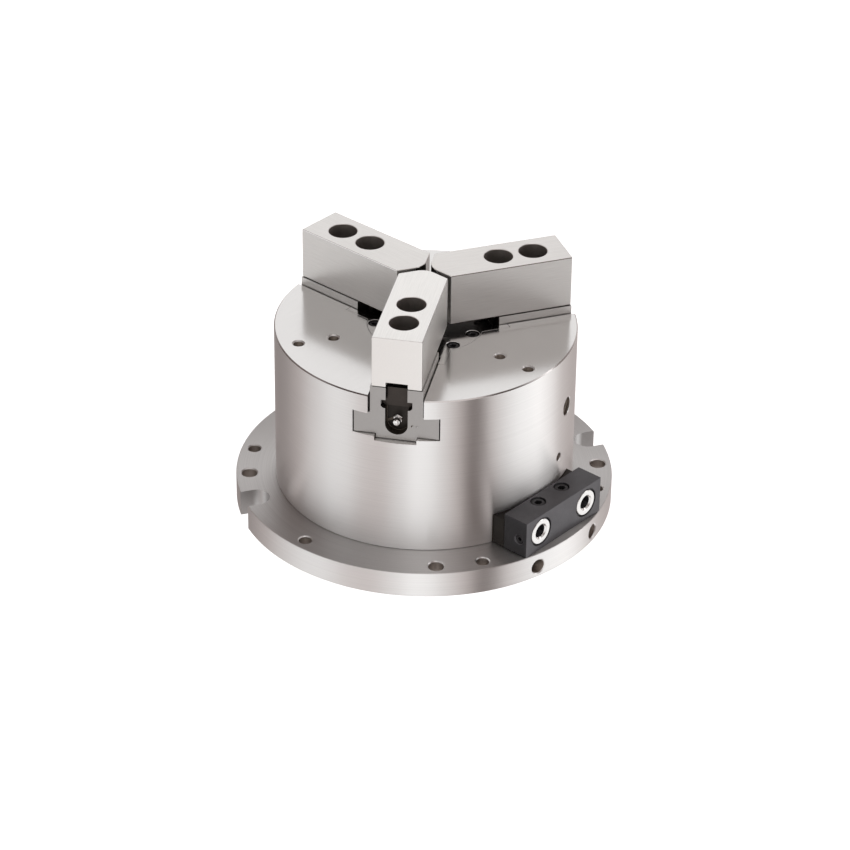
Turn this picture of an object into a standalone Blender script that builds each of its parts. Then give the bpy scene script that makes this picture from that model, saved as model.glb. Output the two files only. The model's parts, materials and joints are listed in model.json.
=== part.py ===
"""Three-jaw pneumatic gripper: a stationary power chuck with its air cylinder in its own base.

Units are metres and +Z is up. The origin is the centre of the base flange's underside. The air
manifold faces -Y, and the three jaws point to 90, 210 and 330 degrees. Air under the piston lifts
the wedge plunger, whose slanted slots push the master jaws outwards. At rest the piston is down
and the jaws are closed. Every sub-part is one object.
"""

import collections
import math

import bmesh
import bpy
from mathutils import Matrix

MM = 0.001
OBJECT_NAME = "three_jaw_pneumatic_gripper"

# Clearances and mesh resolution
GAP = 0.3 * MM  # between pieces that touch
OVERSHOOT = 1.0 * MM  # how far a cutter reaches past the face it opens
ROUND_STEPS = 64  # around the body, flange and piston
SMALL_STEPS = 14  # around holes
SCREW_STEPS = 12  # around screws and small plugs
HEX_SIDES = 6
SEAL_SIDES = 6  # around a round seal's own section
COVER_ARC_STEPS = 8  # on the cover's edge between two jaws
SHARP_ANGLE = math.radians(35)

# Motion
JAW_ANGLES = (90, 210, 330)
PISTON_STROKE = 16.0 * MM
JAW_STROKE = 7.4 * MM
WEDGE_SLOPE = JAW_STROKE / PISTON_STROKE

# Base flange
FLANGE_RADIUS = 133.2 * MM
FLANGE_THICKNESS = 19.0 * MM
FLANGE_CHAMFER = 0.8 * MM
FLANGE_HOLE_CIRCLE = 123.7 * MM
LARGE_HOLE_RADIUS = 5.5 * MM
LARGE_HOLE_ANGLES = (45, 135, 225, 315)
SMALL_HOLE_RADIUS = 4.5 * MM
SMALL_HOLE_ANGLES = (0, 60, 120, 180, 240, 300)
FLANGE_HOLE_CHAMFER = 0.7 * MM
NOTCH_ANGLES = (150, 330)
NOTCH_HALF_WIDTH = 9.5 * MM
NOTCH_INNER_RADIUS = 114.5 * MM
RIM_PORT_ANGLES = (257.25, 282.75)
RIM_PORT_RADIUS = 5.25 * MM
RIM_PORT_HEIGHT = 8.5 * MM
RIM_PORT_DEPTH = 21.0 * MM
RIM_PORT_CHAMFER = 0.6 * MM
RIM_PLUG_LENGTH = 8.0 * MM
RIM_PLUG_SOCKET_RADIUS = 2.6 * MM

# Body housing
BODY_RADIUS = 105.0 * MM
BODY_TOP = 138.0 * MM
BODY_BOTTOM = FLANGE_THICKNESS + GAP
BODY_CHAMFER = 0.8 * MM
BORE_RADIUS = 85.0 * MM
BORE_TOP = 69.0 * MM
PLUNGER_BORE_RADIUS = 30.3 * MM
SPIGOT_RADIUS = BORE_RADIUS - GAP
SPIGOT_TOP = 25.3 * MM
TAPPED_RADIUS = 4.0 * MM
TAPPED_CHAMFER = 1.0 * MM
TAPPED_DEPTH = 18.0 * MM
TAPPED_CIRCLES = (67.0 * MM, 92.0 * MM)
SECTOR_ANGLES = (30, 150, 270)
FLAT_DISTANCE = 97.0 * MM  # from the axis to the flat behind the manifold
FLAT_TOP = 41.8 * MM
BODY_SCREW_CIRCLE = 95.0 * MM
BODY_SCREW_ANGLES = (0, 60, 120, 180, 240, 300)
BODY_SCREW_SINK = 1.0 * MM  # of its head below the flange's underside
BODY_SCREW_LENGTH = 29.0 * MM

# Small holes in the body's side
PLUG_HOLE_ANGLE = 289.5
PLUG_HOLE_HEIGHT = 95.3 * MM
PLUG_HOLE_RADIUS = 6.6 * MM
PLUG_HOLE_DEPTH = 9.0 * MM
LUBE_HOLE_ANGLE = 283.0
LUBE_HOLE_HEIGHT = 60.7 * MM
LUBE_HOLE_RADIUS = 3.0 * MM
LUBE_HOLE_DEPTH = 8.0 * MM
SIDE_PLUG_SINK = 2.0 * MM
SIDE_PLUG_SOCKET_RADIUS = 3.2 * MM
PLUG_SOCKET_DEPTH = 4.0 * MM

# T-slots in the body, and the master jaws that slide in them. Heights are below the body's top.
FOOT_TOP = BODY_TOP - 14.2 * MM
FOOT_BOTTOM = BODY_TOP - 30.3 * MM
TONGUE_BOTTOM = BODY_TOP - 33.5 * MM
NECK_HALF_WIDTH = 18.2 * MM
FOOT_HALF_WIDTH = 29.2 * MM
TONGUE_HALF_WIDTH = 14.2 * MM
SLOT_NECK_GAP = 1.0 * MM
SLOT_FOOT_GAP = 0.8 * MM
SLOT_LEDGE_GAP = 0.6 * MM
SLOT_FLOOR_GAP = 1.0 * MM
MASTER_INNER_END = 31.0 * MM
MASTER_NECK_START = 47.0 * MM
MASTER_OUTER_END = 100.6 * MM
MASTER_TOP = BODY_TOP + 5.9 * MM
MASTER_LOW_TOP = BODY_TOP - 6.6 * MM  # where the master jaw runs under the cover

# T-slot in a master jaw, its grease groove and the T-nut
KEY_HALF_WIDTH = 7.4 * MM
NUT_SLOT_HALF_WIDTH = 10.8 * MM
NUT_SLOT_TOP = BODY_TOP - 3.8 * MM
NUT_SLOT_BOTTOM = BODY_TOP - 10.0 * MM
NUT_SLOT_START = 43.6 * MM
GROOVE_HALF_WIDTH = 7.7 * MM
GROOVE_BOTTOM = BODY_TOP - 29.7 * MM
GROOVE_START = 94.0 * MM
NUT_START = 44.2 * MM
NUT_END = 96.5 * MM
NUT_TOP = BODY_TOP + 4.6 * MM
NIPPLE_HEIGHT = BODY_TOP - 20.4 * MM
NIPPLE_BALL_RADIUS = 2.9 * MM
NIPPLE_BALL_DISTANCE = 5.4 * MM  # of the ball's centre from the wall
NIPPLE_NECK_RADIUS = 2.0 * MM
NIPPLE_COLLAR_RADIUS = 3.6 * MM
NIPPLE_COLLAR_HEIGHT = 2.2 * MM
NIPPLE_STEM_RADIUS = 2.3 * MM
NIPPLE_STEM_LENGTH = 3.8 * MM

# Wedge hook on a master jaw's inner end. Its distances hold at the hook's middle height.
HOOK_TOP = FOOT_TOP - GAP
HOOK_BOTTOM = TONGUE_BOTTOM + GAP
HOOK_MIDDLE = (HOOK_TOP + HOOK_BOTTOM) / 2
HOOK_HEAD_START = 15.0 * MM
HOOK_HEAD_END = 20.0 * MM
HOOK_ROOT = 36.0 * MM
HOOK_HEAD_HALF_WIDTH = 9.0 * MM
HOOK_NECK_HALF_WIDTH = 5.0 * MM
HOOK_CLEARANCE = 0.35 * MM

# Top jaws
TOP_JAW_HALF_WIDTH = 17.2 * MM
TOP_JAW_BOTTOM = MASTER_TOP + GAP
TOP_JAW_TOP = BODY_TOP + 43.7 * MM
TOP_JAW_OUTER_END = 100.5 * MM
NOSE_CORNER = 12.0 * MM  # distance of the nose's side corners from the axis, along the jaw
NOSE_RADIUS = 11.8 * MM
NOSE_SLOPE = 30  # degrees between a nose face and straight across the jaw
NOSE_ARC_STEPS = 6
KEYWAY_TOP = BODY_TOP + 9.7 * MM
KEYWAY_START = 36.0 * MM
JAW_BOLTS = (52.2 * MM, 77.5 * MM)
COUNTERBORE_RADIUS = 10.0 * MM
COUNTERBORE_FLOOR = TOP_JAW_TOP - 24.5 * MM
JAW_BOLT_HOLE_RADIUS = 6.6 * MM

# Centre cover
COVER_RADIUS = 40.6 * MM
COVER_THICKNESS = 6.0 * MM
COVER_BOTTOM = BODY_TOP - COVER_THICKNESS
FINGER_HALF_WIDTH = 23.3 * MM
FINGER_END = 53.0 * MM
COVER_SLOT_HALF_WIDTH = 18.8 * MM
COVER_SLOT_START = 43.4 * MM  # just inside the T-nuts
COVER_SCREW_CIRCLE = 35.2 * MM
COVER_SCREW_OFFSETS = (-17, 17)  # degrees from a sector's middle
COVER_SCREW_SINK = 0.5 * MM
COVER_SCREW_LENGTH = 8.3 * MM

# Piston and wedge plunger, at rest at the bottom of the stroke
PISTON_RADIUS = 84.5 * MM
PISTON_BOTTOM = SPIGOT_TOP + GAP
PISTON_TOP = 51.6 * MM
PISTON_CHAMFER = 3.5 * MM
SEAL_GROOVE = (79.5 * MM, 42.0 * MM, 47.0 * MM)  # floor radius, bottom, top
WEAR_GROOVE = (82.2 * MM, 30.5 * MM, 37.0 * MM)
ROD_SEAL_GROOVE = (34.0 * MM, 80.0 * MM, 85.0 * MM)
FLANGE_SEAL_GROOVE = (81.4 * MM, 20.6 * MM, 23.8 * MM)
PLUNGER_RADIUS = 30.0 * MM
PLUNGER_BOTTOM = PISTON_TOP + GAP
PLUNGER_TOP = 115.5 * MM
PLUNGER_SLOT_BOTTOM = 87.2 * MM
PLUNGER_SCREW_CIRCLE = 16.0 * MM
PLUNGER_SCREW_SINK = 1.0 * MM
PLUNGER_SCREW_LENGTH = 33.4 * MM
PISTON_RING_CLEARANCE = 0.2 * MM
ROD_SEAL_CLEARANCE = 0.15 * MM

# Air manifold, spacer and passages
BLOCK_HALF_LENGTH = 40.0 * MM
BLOCK_FRONT = 127.3 * MM
BLOCK_BACK = 107.4 * MM
BLOCK_TOP = 47.0 * MM
BLOCK_BEVEL = 0.6 * MM
BLOCK_SCREW_OFFSETS = (-12.5 * MM, 12.5 * MM)
BLOCK_SCREW_DISTANCE = 114.4 * MM
BLOCK_SCREW_SINK = 0.8 * MM
BLOCK_SCREW_LENGTH = 30.0 * MM
PORT_OFFSETS = (-24.2 * MM, 24.2 * MM)
PORT_HEIGHT = 33.5 * MM
PORT_RADIUS = 4.8 * MM
PORT_RING_RADIUS = 9.4 * MM
PORT_RECESS_RADIUS = 10.6 * MM
PORT_RECESS_DEPTH = 2.2 * MM
END_PLUG_RADIUS = 3.5 * MM
END_PLUG_DISTANCE = 120.6 * MM
END_PLUG_HEIGHT = 31.5 * MM
END_PLUG_DEPTH = 7.0 * MM
END_PLUG_SINK = 0.8 * MM
END_PLUG_SOCKET_RADIUS = 1.7 * MM
PORT_RING_SINK = 0.2 * MM
SPACER_TOP = 41.5 * MM
FACE_SEAL_RADIUS = 8.2 * MM
FACE_SEAL_DEPTH = 1.6 * MM
FACE_SEAL_HOLE_RADIUS = 5.2 * MM
FACE_SEAL_SQUEEZE = 0.1 * MM  # how far a face seal stands out of its groove
BODY_PORT_RADIUS = 4.0 * MM
DRILLING_DISTANCE = 91.0 * MM  # of the vertical air drillings from the axis, towards the manifold
DRILLING_RADIUS = 2.5 * MM
LOWER_INLET_HEIGHT = 27.6 * MM
UPPER_INLET_HEIGHT = 66.0 * MM
INLET_RADIUS = 1.9 * MM
INLET_OVERRUN = 6.0 * MM  # past the bore's nearest wall, which curves away

# Cap screws
ScrewSize = collections.namedtuple("ScrewSize", "head_radius head_height shank_radius socket_radius")
JAW_SCREW = ScrewSize(9.0 * MM, 12.0 * MM, 5.7 * MM, 5.7 * MM)
BODY_SCREW = ScrewSize(6.5 * MM, 8.0 * MM, 3.7 * MM, 3.4 * MM)
BLOCK_SCREW = ScrewSize(5.0 * MM, 6.0 * MM, 3.0 * MM, 2.8 * MM)
COVER_SCREW = ScrewSize(4.2 * MM, 3.6 * MM, 2.2 * MM, 2.3 * MM)
HEAD_CLEARANCE = 0.5 * MM
SHANK_CLEARANCE = 0.5 * MM
HEAD_CHAMFER = 0.06  # of the head's radius
SOCKET_DEPTH = 0.55  # of the head's height

# Heights at which the heads rest. The first two rows of screws point up, so these are measured downwards
UPSIDE_DOWN = Matrix.Rotation(math.pi, 4, "X")
BODY_SCREW_SEAT = -BODY_SCREW_SINK - BODY_SCREW.head_height
PLUNGER_SCREW_SEAT = -PISTON_BOTTOM - PLUNGER_SCREW_SINK - BODY_SCREW.head_height
COVER_SCREW_SEAT = BODY_TOP - COVER_SCREW_SINK - COVER_SCREW.head_height
BLOCK_SCREW_SEAT = BLOCK_TOP - BLOCK_SCREW_SINK - BLOCK_SCREW.head_height

# Finishes: colour, roughness, metallic
BRIGHT_STEEL = ((0.78, 0.75, 0.73), 0.28, 1.0)
GROUND_STEEL = ((0.86, 0.85, 0.83), 0.38, 1.0)
MASTER_STEEL = ((0.48, 0.47, 0.46), 0.42, 1.0)
BLACK_OXIDE = ((0.035, 0.033, 0.035), 0.45, 0.6)
BLACK_ANODISED = ((0.075, 0.072, 0.078), 0.48, 0.3)
DARK_STEEL = ((0.14, 0.13, 0.13), 0.4, 0.9)
PISTON_ALUMINIUM = ((0.70, 0.71, 0.72), 0.4, 1.0)
SEAL_RUBBER = ((0.02, 0.02, 0.02), 0.7, 0.0)
WEAR_PLASTIC = ((0.30, 0.14, 0.06), 0.6, 0.0)


def start_scene():
    """An empty scene with one collection for the parts and one for the cutters."""
    for obj in list(bpy.data.objects):
        bpy.data.objects.remove(obj)
    collections = []
    for name in (OBJECT_NAME, "cutters"):
        collection = bpy.data.collections.new(name)
        bpy.context.scene.collection.children.link(collection)
        collections.append(collection)
    return collections


PARTS, CUTTERS = start_scene()


def around(angle, distance=0.0, height=0.0):
    """A frame whose X axis points outwards at this angle, moved out and up."""
    turn = Matrix.Rotation(math.radians(angle), 4, "Z")
    return turn @ Matrix.Translation((distance, 0.0, height))


def pointing_out(angle, distance, height):
    """A frame whose Z axis points outwards at this angle."""
    return around(angle, distance, height) @ Matrix.Rotation(math.radians(90), 4, "Y")


def add_object(name, mesh, place=None):
    obj = bpy.data.objects.new(name, mesh)
    PARTS.objects.link(obj)
    obj.matrix_world = place or Matrix.Identity(4)
    return obj


def as_cutter(obj):
    """Moves an object to the cutters, where it stays out of renders."""
    PARTS.objects.unlink(obj)
    CUTTERS.objects.link(obj)
    obj.hide_render = True
    obj.display_type = "WIRE"
    return obj


def combine(obj, cutter, operation="DIFFERENCE"):
    modifier = obj.modifiers.new(cutter.name, "BOOLEAN")
    modifier.operation = operation
    modifier.solver = "EXACT"
    modifier.object = as_cutter(cutter)


def turned(name, profile, place=None, steps=SMALL_STEPS, ring=False):
    """A turned solid. Its profile of (radius, height) runs down the outer side, top to bottom."""
    mesh = bpy.data.meshes.new(name)
    count = len(profile)
    edges = [(i, (i + 1) % count) for i in range(count if ring else count - 1)]
    mesh.from_pydata([(radius, 0.0, height) for radius, height in profile], edges, [])
    obj = add_object(name, mesh, place)
    screw = obj.modifiers.new("turn", "SCREW")
    screw.steps = steps
    screw.render_steps = steps
    screw.use_merge_vertices = True
    screw.merge_threshold = 0.00001
    return obj


def cylinder(name, radius, low, high, place=None, steps=SMALL_STEPS):
    return turned(name, [(0.0, high), (radius, high), (radius, low), (0.0, low)], place, steps)


def washer(name, inner, outer, low, high, place=None, steps=SMALL_STEPS):
    profile = [(outer, high), (outer, low), (inner, low), (inner, high)]
    return turned(name, profile, place, steps, ring=True)


def o_ring(name, radius, thickness, height, place=None, steps=ROUND_STEPS):
    """A ring of round section, its section's centre at this radius and height."""
    section = [-2 * math.pi * (side + 0.5) / SEAL_SIDES for side in range(SEAL_SIDES)]
    profile = [
        (radius + thickness / 2 * math.cos(a), height + thickness / 2 * math.sin(a)) for a in section
    ]
    return turned(name, profile, place, steps, ring=True)


def block(name, low, high, place=None):
    """A box between two corners."""
    mesh = bpy.data.meshes.new(name)
    shape = bmesh.new()
    bmesh.ops.create_cube(shape, size=1.0)
    size = [b - a for a, b in zip(low, high)]
    middle = [(a + b) / 2 for a, b in zip(low, high)]
    bmesh.ops.scale(shape, vec=size, verts=shape.verts)
    bmesh.ops.translate(shape, vec=middle, verts=shape.verts)
    shape.to_mesh(mesh)
    shape.free()
    return add_object(name, mesh, place)


# Where a flat outline's own axes go: across Z it is drawn in X and Y, across X in Y and Z
ACROSS = {
    "Z": Matrix.Identity(4),
    "X": Matrix(((0, 0, 1, 0), (1, 0, 0, 0), (0, 1, 0, 0), (0, 0, 0, 1))),
}


def make_caps_whole(shape):
    """Makes each flat end one face, because a triangulated end can hold faces with no area."""
    caps = [face for face in shape.faces if len({round(v.co.z, 7) for v in face.verts}) == 1]
    bmesh.ops.delete(shape, geom=caps, context="FACES")
    bmesh.ops.edgeloop_fill(shape, edges=[edge for edge in shape.edges if edge.is_boundary])


def extruded(name, outline, low, high, along="Z", place=None):
    """A flat outline, drawn as a 2D curve, extruded from low to high and made a mesh."""
    curve = bpy.data.curves.new(name, "CURVE")
    curve.dimensions = "2D"
    curve.fill_mode = "BOTH"
    curve.extrude = (high - low) / 2
    spline = curve.splines.new("POLY")
    spline.points.add(len(outline) - 1)
    for point, (first, second) in zip(spline.points, outline):
        point.co = (first, second, 0.0, 1.0)
    spline.use_cyclic_u = True
    drawing = bpy.data.objects.new(name, curve)
    bpy.context.scene.collection.objects.link(drawing)
    graph = bpy.context.evaluated_depsgraph_get()
    mesh = bpy.data.meshes.new_from_object(drawing.evaluated_get(graph))
    bpy.data.objects.remove(drawing)
    shape = bmesh.new()
    shape.from_mesh(mesh)
    bmesh.ops.remove_doubles(shape, verts=shape.verts, dist=0.000001)
    make_caps_whole(shape)
    bmesh.ops.translate(shape, vec=(0.0, 0.0, (low + high) / 2), verts=shape.verts)
    bmesh.ops.transform(shape, matrix=ACROSS[along], verts=shape.verts)
    bmesh.ops.recalc_face_normals(shape, faces=shape.faces)
    shape.to_mesh(mesh)
    shape.free()
    return add_object(name, mesh, place)


def arc(centre, radius, start, end, steps):
    """Points on an arc, both ends included. Angles are in degrees."""
    points = []
    for step in range(steps + 1):
        angle = math.radians(start + (end - start) * step / steps)
        points.append((centre[0] + radius * math.cos(angle), centre[1] + radius * math.sin(angle)))
    return points


def on_each_jaw(outline):
    """An outline's points repeated for the three jaws, from points drawn for a jaw along +X."""
    points = []
    for angle in JAW_ANGLES:
        cos, sin = math.cos(math.radians(angle)), math.sin(math.radians(angle))
        points += [(x * cos - y * sin, x * sin + y * cos) for x, y in outline]
    return points


def star(half_width):
    """Three straight channels of this half-width that cross on the axis, past the body's edge."""
    far = BODY_RADIUS + OVERSHOOT
    corner = half_width / math.tan(math.radians(60))
    return on_each_jaw([(far, -half_width), (far, half_width), (corner, half_width)])


def cover_outline(radius, half_width, end, slot=()):
    """A disc with a square lug under each jaw. slot holds the points of a gap in the lug's end."""
    root = math.sqrt(radius**2 - half_width**2)
    lug = [(root, -half_width), (end, -half_width), *slot, (end, half_width)]
    edge = math.degrees(math.asin(half_width / radius))
    return on_each_jaw(lug + arc((0.0, 0.0), radius, edge, 120 - edge, COVER_ARC_STEPS)[:-1])


def mirrored(half):
    """A whole outline from its half at positive first coordinates, which runs downwards."""
    return half + [(-first, second) for first, second in reversed(half)]


def chamfered_hole(name, radius, chamfer, low, high, place):
    """A cutter for a hole that opens at its upper end, with a 45 degree chamfer there."""
    mouth = radius + chamfer + OVERSHOOT
    top = high + OVERSHOOT
    profile = [(0.0, top), (mouth, top), (radius, high - chamfer), (radius, low), (0.0, low)]
    return turned(name, profile, place)


def stepped_hole(name, wide, narrow, shoulder, low, high, place):
    """A cutter for a hole that is wide above its shoulder and narrow below it."""
    profile = [(0.0, high), (wide, high), (wide, shoulder), (narrow, shoulder)]
    return turned(name, profile + [(narrow, low), (0.0, low)], place)


def screw_hole(name, size, seat, low, high, place):
    """A cutter for a cap screw's hole. The screw's head rests at seat, above the hole's shoulder."""
    wide = size.head_radius + HEAD_CLEARANCE
    narrow = size.shank_radius + SHANK_CLEARANCE
    return stepped_hole(name, wide, narrow, seat - GAP, low, high, place)


def thread_hole(name, size, low, high, place):
    """A cutter for the hole that a cap screw's end goes into."""
    return cylinder(name, size.shank_radius + GAP, low, high, place, SCREW_STEPS)


def hex_socket(name, radius, top, depth, place):
    return cylinder(name, radius, top - depth, top + OVERSHOOT, place, HEX_SIDES)


def socket_screw(name, size, seat, length, place):
    """A cap screw with its axis on Z, its head above seat and its shank below."""
    top = seat + size.head_height
    tip = seat - length
    edge = HEAD_CHAMFER * size.head_radius
    profile = [
        (0.0, top),
        (size.head_radius - edge, top),
        (size.head_radius, top - edge),
        (size.head_radius, seat),
        (size.shank_radius, seat),
        (size.shank_radius, tip + edge),
        (size.shank_radius - edge, tip),
        (0.0, tip),
    ]
    screw = turned(name, profile, place, SCREW_STEPS)
    depth = SOCKET_DEPTH * size.head_height
    combine(screw, hex_socket(name + "_socket", size.socket_radius, top, depth, place))
    return finish(screw, BLACK_OXIDE)


def finish(obj, look):
    """Gives the object a material of its own."""
    colour, roughness, metallic = look
    material = bpy.data.materials.new(obj.name)
    material.use_nodes = True
    shader = material.node_tree.nodes["Principled BSDF"]
    shader.inputs["Base Color"].default_value = (*colour, 1.0)
    shader.inputs["Roughness"].default_value = roughness
    shader.inputs["Metallic"].default_value = metallic
    material.diffuse_color = (*colour, 1.0)
    obj.data.materials.clear()
    obj.data.materials.append(material)
    return obj


# Base flange and what is in it


def make_base_flange():
    groove_radius, groove_low, groove_high = FLANGE_SEAL_GROOVE
    profile = [
        (0.0, SPIGOT_TOP),
        (SPIGOT_RADIUS, SPIGOT_TOP),
        (SPIGOT_RADIUS, groove_high),
        (groove_radius, groove_high),
        (groove_radius, groove_low),
        (SPIGOT_RADIUS, groove_low),
        (SPIGOT_RADIUS, FLANGE_THICKNESS),
        (FLANGE_RADIUS - FLANGE_CHAMFER, FLANGE_THICKNESS),
        (FLANGE_RADIUS, FLANGE_THICKNESS - FLANGE_CHAMFER),
        (FLANGE_RADIUS, FLANGE_CHAMFER),
        (FLANGE_RADIUS - FLANGE_CHAMFER, 0.0),
        (0.0, 0.0),
    ]
    flange = turned("base_flange", profile, steps=ROUND_STEPS)
    holes = [(angle, LARGE_HOLE_RADIUS) for angle in LARGE_HOLE_ANGLES]
    holes += [(angle, SMALL_HOLE_RADIUS) for angle in SMALL_HOLE_ANGLES]
    for angle, radius in holes:
        place = around(angle, FLANGE_HOLE_CIRCLE)
        name = f"flange_hole_{angle}_cut"
        combine(
            flange,
            chamfered_hole(name, radius, FLANGE_HOLE_CHAMFER, -OVERSHOOT, FLANGE_THICKNESS, place),
        )
    for angle in NOTCH_ANGLES:
        far = FLANGE_RADIUS + OVERSHOOT
        end = (NOTCH_INNER_RADIUS + NOTCH_HALF_WIDTH, 0.0)
        outline = [(far, NOTCH_HALF_WIDTH)] + arc(end, NOTCH_HALF_WIDTH, 90, 270, SMALL_STEPS // 2)
        outline.append((far, -NOTCH_HALF_WIDTH))
        name = f"notch_{angle}_cut"
        high = FLANGE_THICKNESS + OVERSHOOT
        combine(flange, extruded(name, outline, -OVERSHOOT, high, place=around(angle)))
    for number, angle in enumerate(RIM_PORT_ANGLES, 1):
        place = pointing_out(angle, FLANGE_RADIUS, RIM_PORT_HEIGHT)
        name = f"rim_port_{number}_cut"
        hole = (RIM_PORT_RADIUS, RIM_PORT_CHAMFER, -RIM_PORT_DEPTH, 0.0)
        combine(flange, chamfered_hole(name, *hole, place))
    for angle in BODY_SCREW_ANGLES:
        name = f"body_screw_{angle}_flange_cut"
        low = -SPIGOT_TOP - OVERSHOOT
        place = around(angle, BODY_SCREW_CIRCLE) @ UPSIDE_DOWN
        combine(flange, screw_hole(name, BODY_SCREW, BODY_SCREW_SEAT, low, OVERSHOOT, place))
    for number, offset in enumerate(BLOCK_SCREW_OFFSETS, 1):
        name = f"manifold_screw_{number}_flange_cut"
        low = BLOCK_SCREW_SEAT - BLOCK_SCREW_LENGTH - OVERSHOOT
        high = FLANGE_THICKNESS + OVERSHOOT
        place = Matrix.Translation((offset, -BLOCK_SCREW_DISTANCE, 0.0))
        combine(flange, thread_hole(name, BLOCK_SCREW, low, high, place))
    return finish(flange, BRIGHT_STEEL)


def make_rim_plug(number, angle):
    inner_end = -RIM_PORT_DEPTH + GAP
    place = pointing_out(angle, FLANGE_RADIUS, RIM_PORT_HEIGHT)
    top = inner_end + RIM_PLUG_LENGTH
    name = f"rim_plug_{number}"
    plug = cylinder(name, RIM_PORT_RADIUS - GAP, inner_end, top, place, SCREW_STEPS)
    socket = hex_socket(name + "_socket", RIM_PLUG_SOCKET_RADIUS, top, PLUG_SOCKET_DEPTH, place)
    combine(plug, socket)
    return finish(plug, DARK_STEEL)


def make_body_screw(number, angle):
    place = around(angle, BODY_SCREW_CIRCLE) @ UPSIDE_DOWN
    name = f"body_screw_{number}"
    return socket_screw(name, BODY_SCREW, BODY_SCREW_SEAT, BODY_SCREW_LENGTH, place)


def make_flange_o_ring():
    radius, low, high = FLANGE_SEAL_GROOVE
    thickness = high - low - GAP
    middle = radius + GAP + thickness / 2
    return finish(o_ring("flange_o_ring", middle, thickness, (low + high) / 2), SEAL_RUBBER)


# Body housing


def cut_jaw_slots(body):
    """The three T-slots in layers: the neck, the foot and the tongue's groove."""
    foot_middle = (FOOT_TOP + FOOT_BOTTOM) / 2
    layers = (
        ("neck", NECK_HALF_WIDTH + SLOT_NECK_GAP, foot_middle, BODY_TOP + OVERSHOOT),
        ("foot", FOOT_HALF_WIDTH + SLOT_FOOT_GAP, FOOT_BOTTOM - SLOT_LEDGE_GAP, FOOT_TOP + GAP),
        ("tongue", TONGUE_HALF_WIDTH + GAP, TONGUE_BOTTOM - SLOT_FLOOR_GAP, foot_middle),
    )
    for layer, half_width, low, high in layers:
        combine(body, extruded(f"{layer}_slots_cut", star(half_width), low, high))


def cut_cover_recess(body):
    outline = cover_outline(COVER_RADIUS + GAP, FINGER_HALF_WIDTH + GAP, FINGER_END + GAP)
    low = COVER_BOTTOM - GAP
    combine(body, extruded("cover_recess_cut", outline, low, BODY_TOP + OVERSHOOT))


def cut_face_holes(body):
    for sector in SECTOR_ANGLES:
        for row, distance in enumerate(TAPPED_CIRCLES, 1):
            name = f"tapped_{sector}_{row}_cut"
            low = BODY_TOP - TAPPED_DEPTH
            place = around(sector, distance)
            combine(
                body, chamfered_hole(name, TAPPED_RADIUS, TAPPED_CHAMFER, low, BODY_TOP, place)
            )
        for offset in COVER_SCREW_OFFSETS:
            name = f"cover_screw_{sector + offset}_body_cut"
            low = COVER_SCREW_SEAT - COVER_SCREW_LENGTH - GAP
            place = around(sector + offset, COVER_SCREW_CIRCLE)
            combine(body, thread_hole(name, COVER_SCREW, low, COVER_BOTTOM, place))


def cut_side_holes(body):
    place = pointing_out(PLUG_HOLE_ANGLE, BODY_RADIUS, PLUG_HOLE_HEIGHT)
    depth = -PLUG_HOLE_DEPTH
    combine(body, cylinder("plug_hole_cut", PLUG_HOLE_RADIUS, depth, 2 * OVERSHOOT, place))
    place = pointing_out(LUBE_HOLE_ANGLE, BODY_RADIUS, LUBE_HOLE_HEIGHT)
    depth = -LUBE_HOLE_DEPTH
    combine(body, cylinder("lube_hole_cut", LUBE_HOLE_RADIUS, depth, 2 * OVERSHOOT, place))


def cut_air_passages(body):
    """From the flat: the left port feeds the bore under the piston, the right one above it."""
    half = BLOCK_HALF_LENGTH + 3 * OVERSHOOT
    far = -BODY_RADIUS - OVERSHOOT
    low = (-half, far, BODY_BOTTOM - OVERSHOOT)
    combine(body, block("manifold_flat_cut", low, (half, -FLAT_DISTANCE, FLAT_TOP)))
    for side, offset, inlet in zip(
        ("lower", "upper"), PORT_OFFSETS, (LOWER_INLET_HEIGHT, UPPER_INLET_HEIGHT)
    ):
        facing = Matrix.Translation((offset, -FLAT_DISTANCE, PORT_HEIGHT))
        facing = facing @ Matrix.Rotation(math.radians(90), 4, "X")
        depth = DRILLING_DISTANCE - FLAT_DISTANCE
        combine(body, cylinder(f"{side}_port_cut", BODY_PORT_RADIUS, depth, OVERSHOOT, facing))
        drilling = Matrix.Translation((offset, -DRILLING_DISTANCE, 0.0))
        top = max(inlet, PORT_HEIGHT) + INLET_RADIUS
        low = BODY_BOTTOM - OVERSHOOT
        name = f"{side}_drilling_cut"
        combine(body, cylinder(name, DRILLING_RADIUS, low, top, drilling, SCREW_STEPS))
        across = Matrix.Translation((offset, -DRILLING_DISTANCE, inlet))
        across = across @ Matrix.Rotation(math.radians(-90), 4, "X")
        name = f"{side}_inlet_cut"
        length = DRILLING_DISTANCE - BORE_RADIUS + INLET_OVERRUN
        combine(body, cylinder(name, INLET_RADIUS, 0.0, length, across, SCREW_STEPS))


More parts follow.
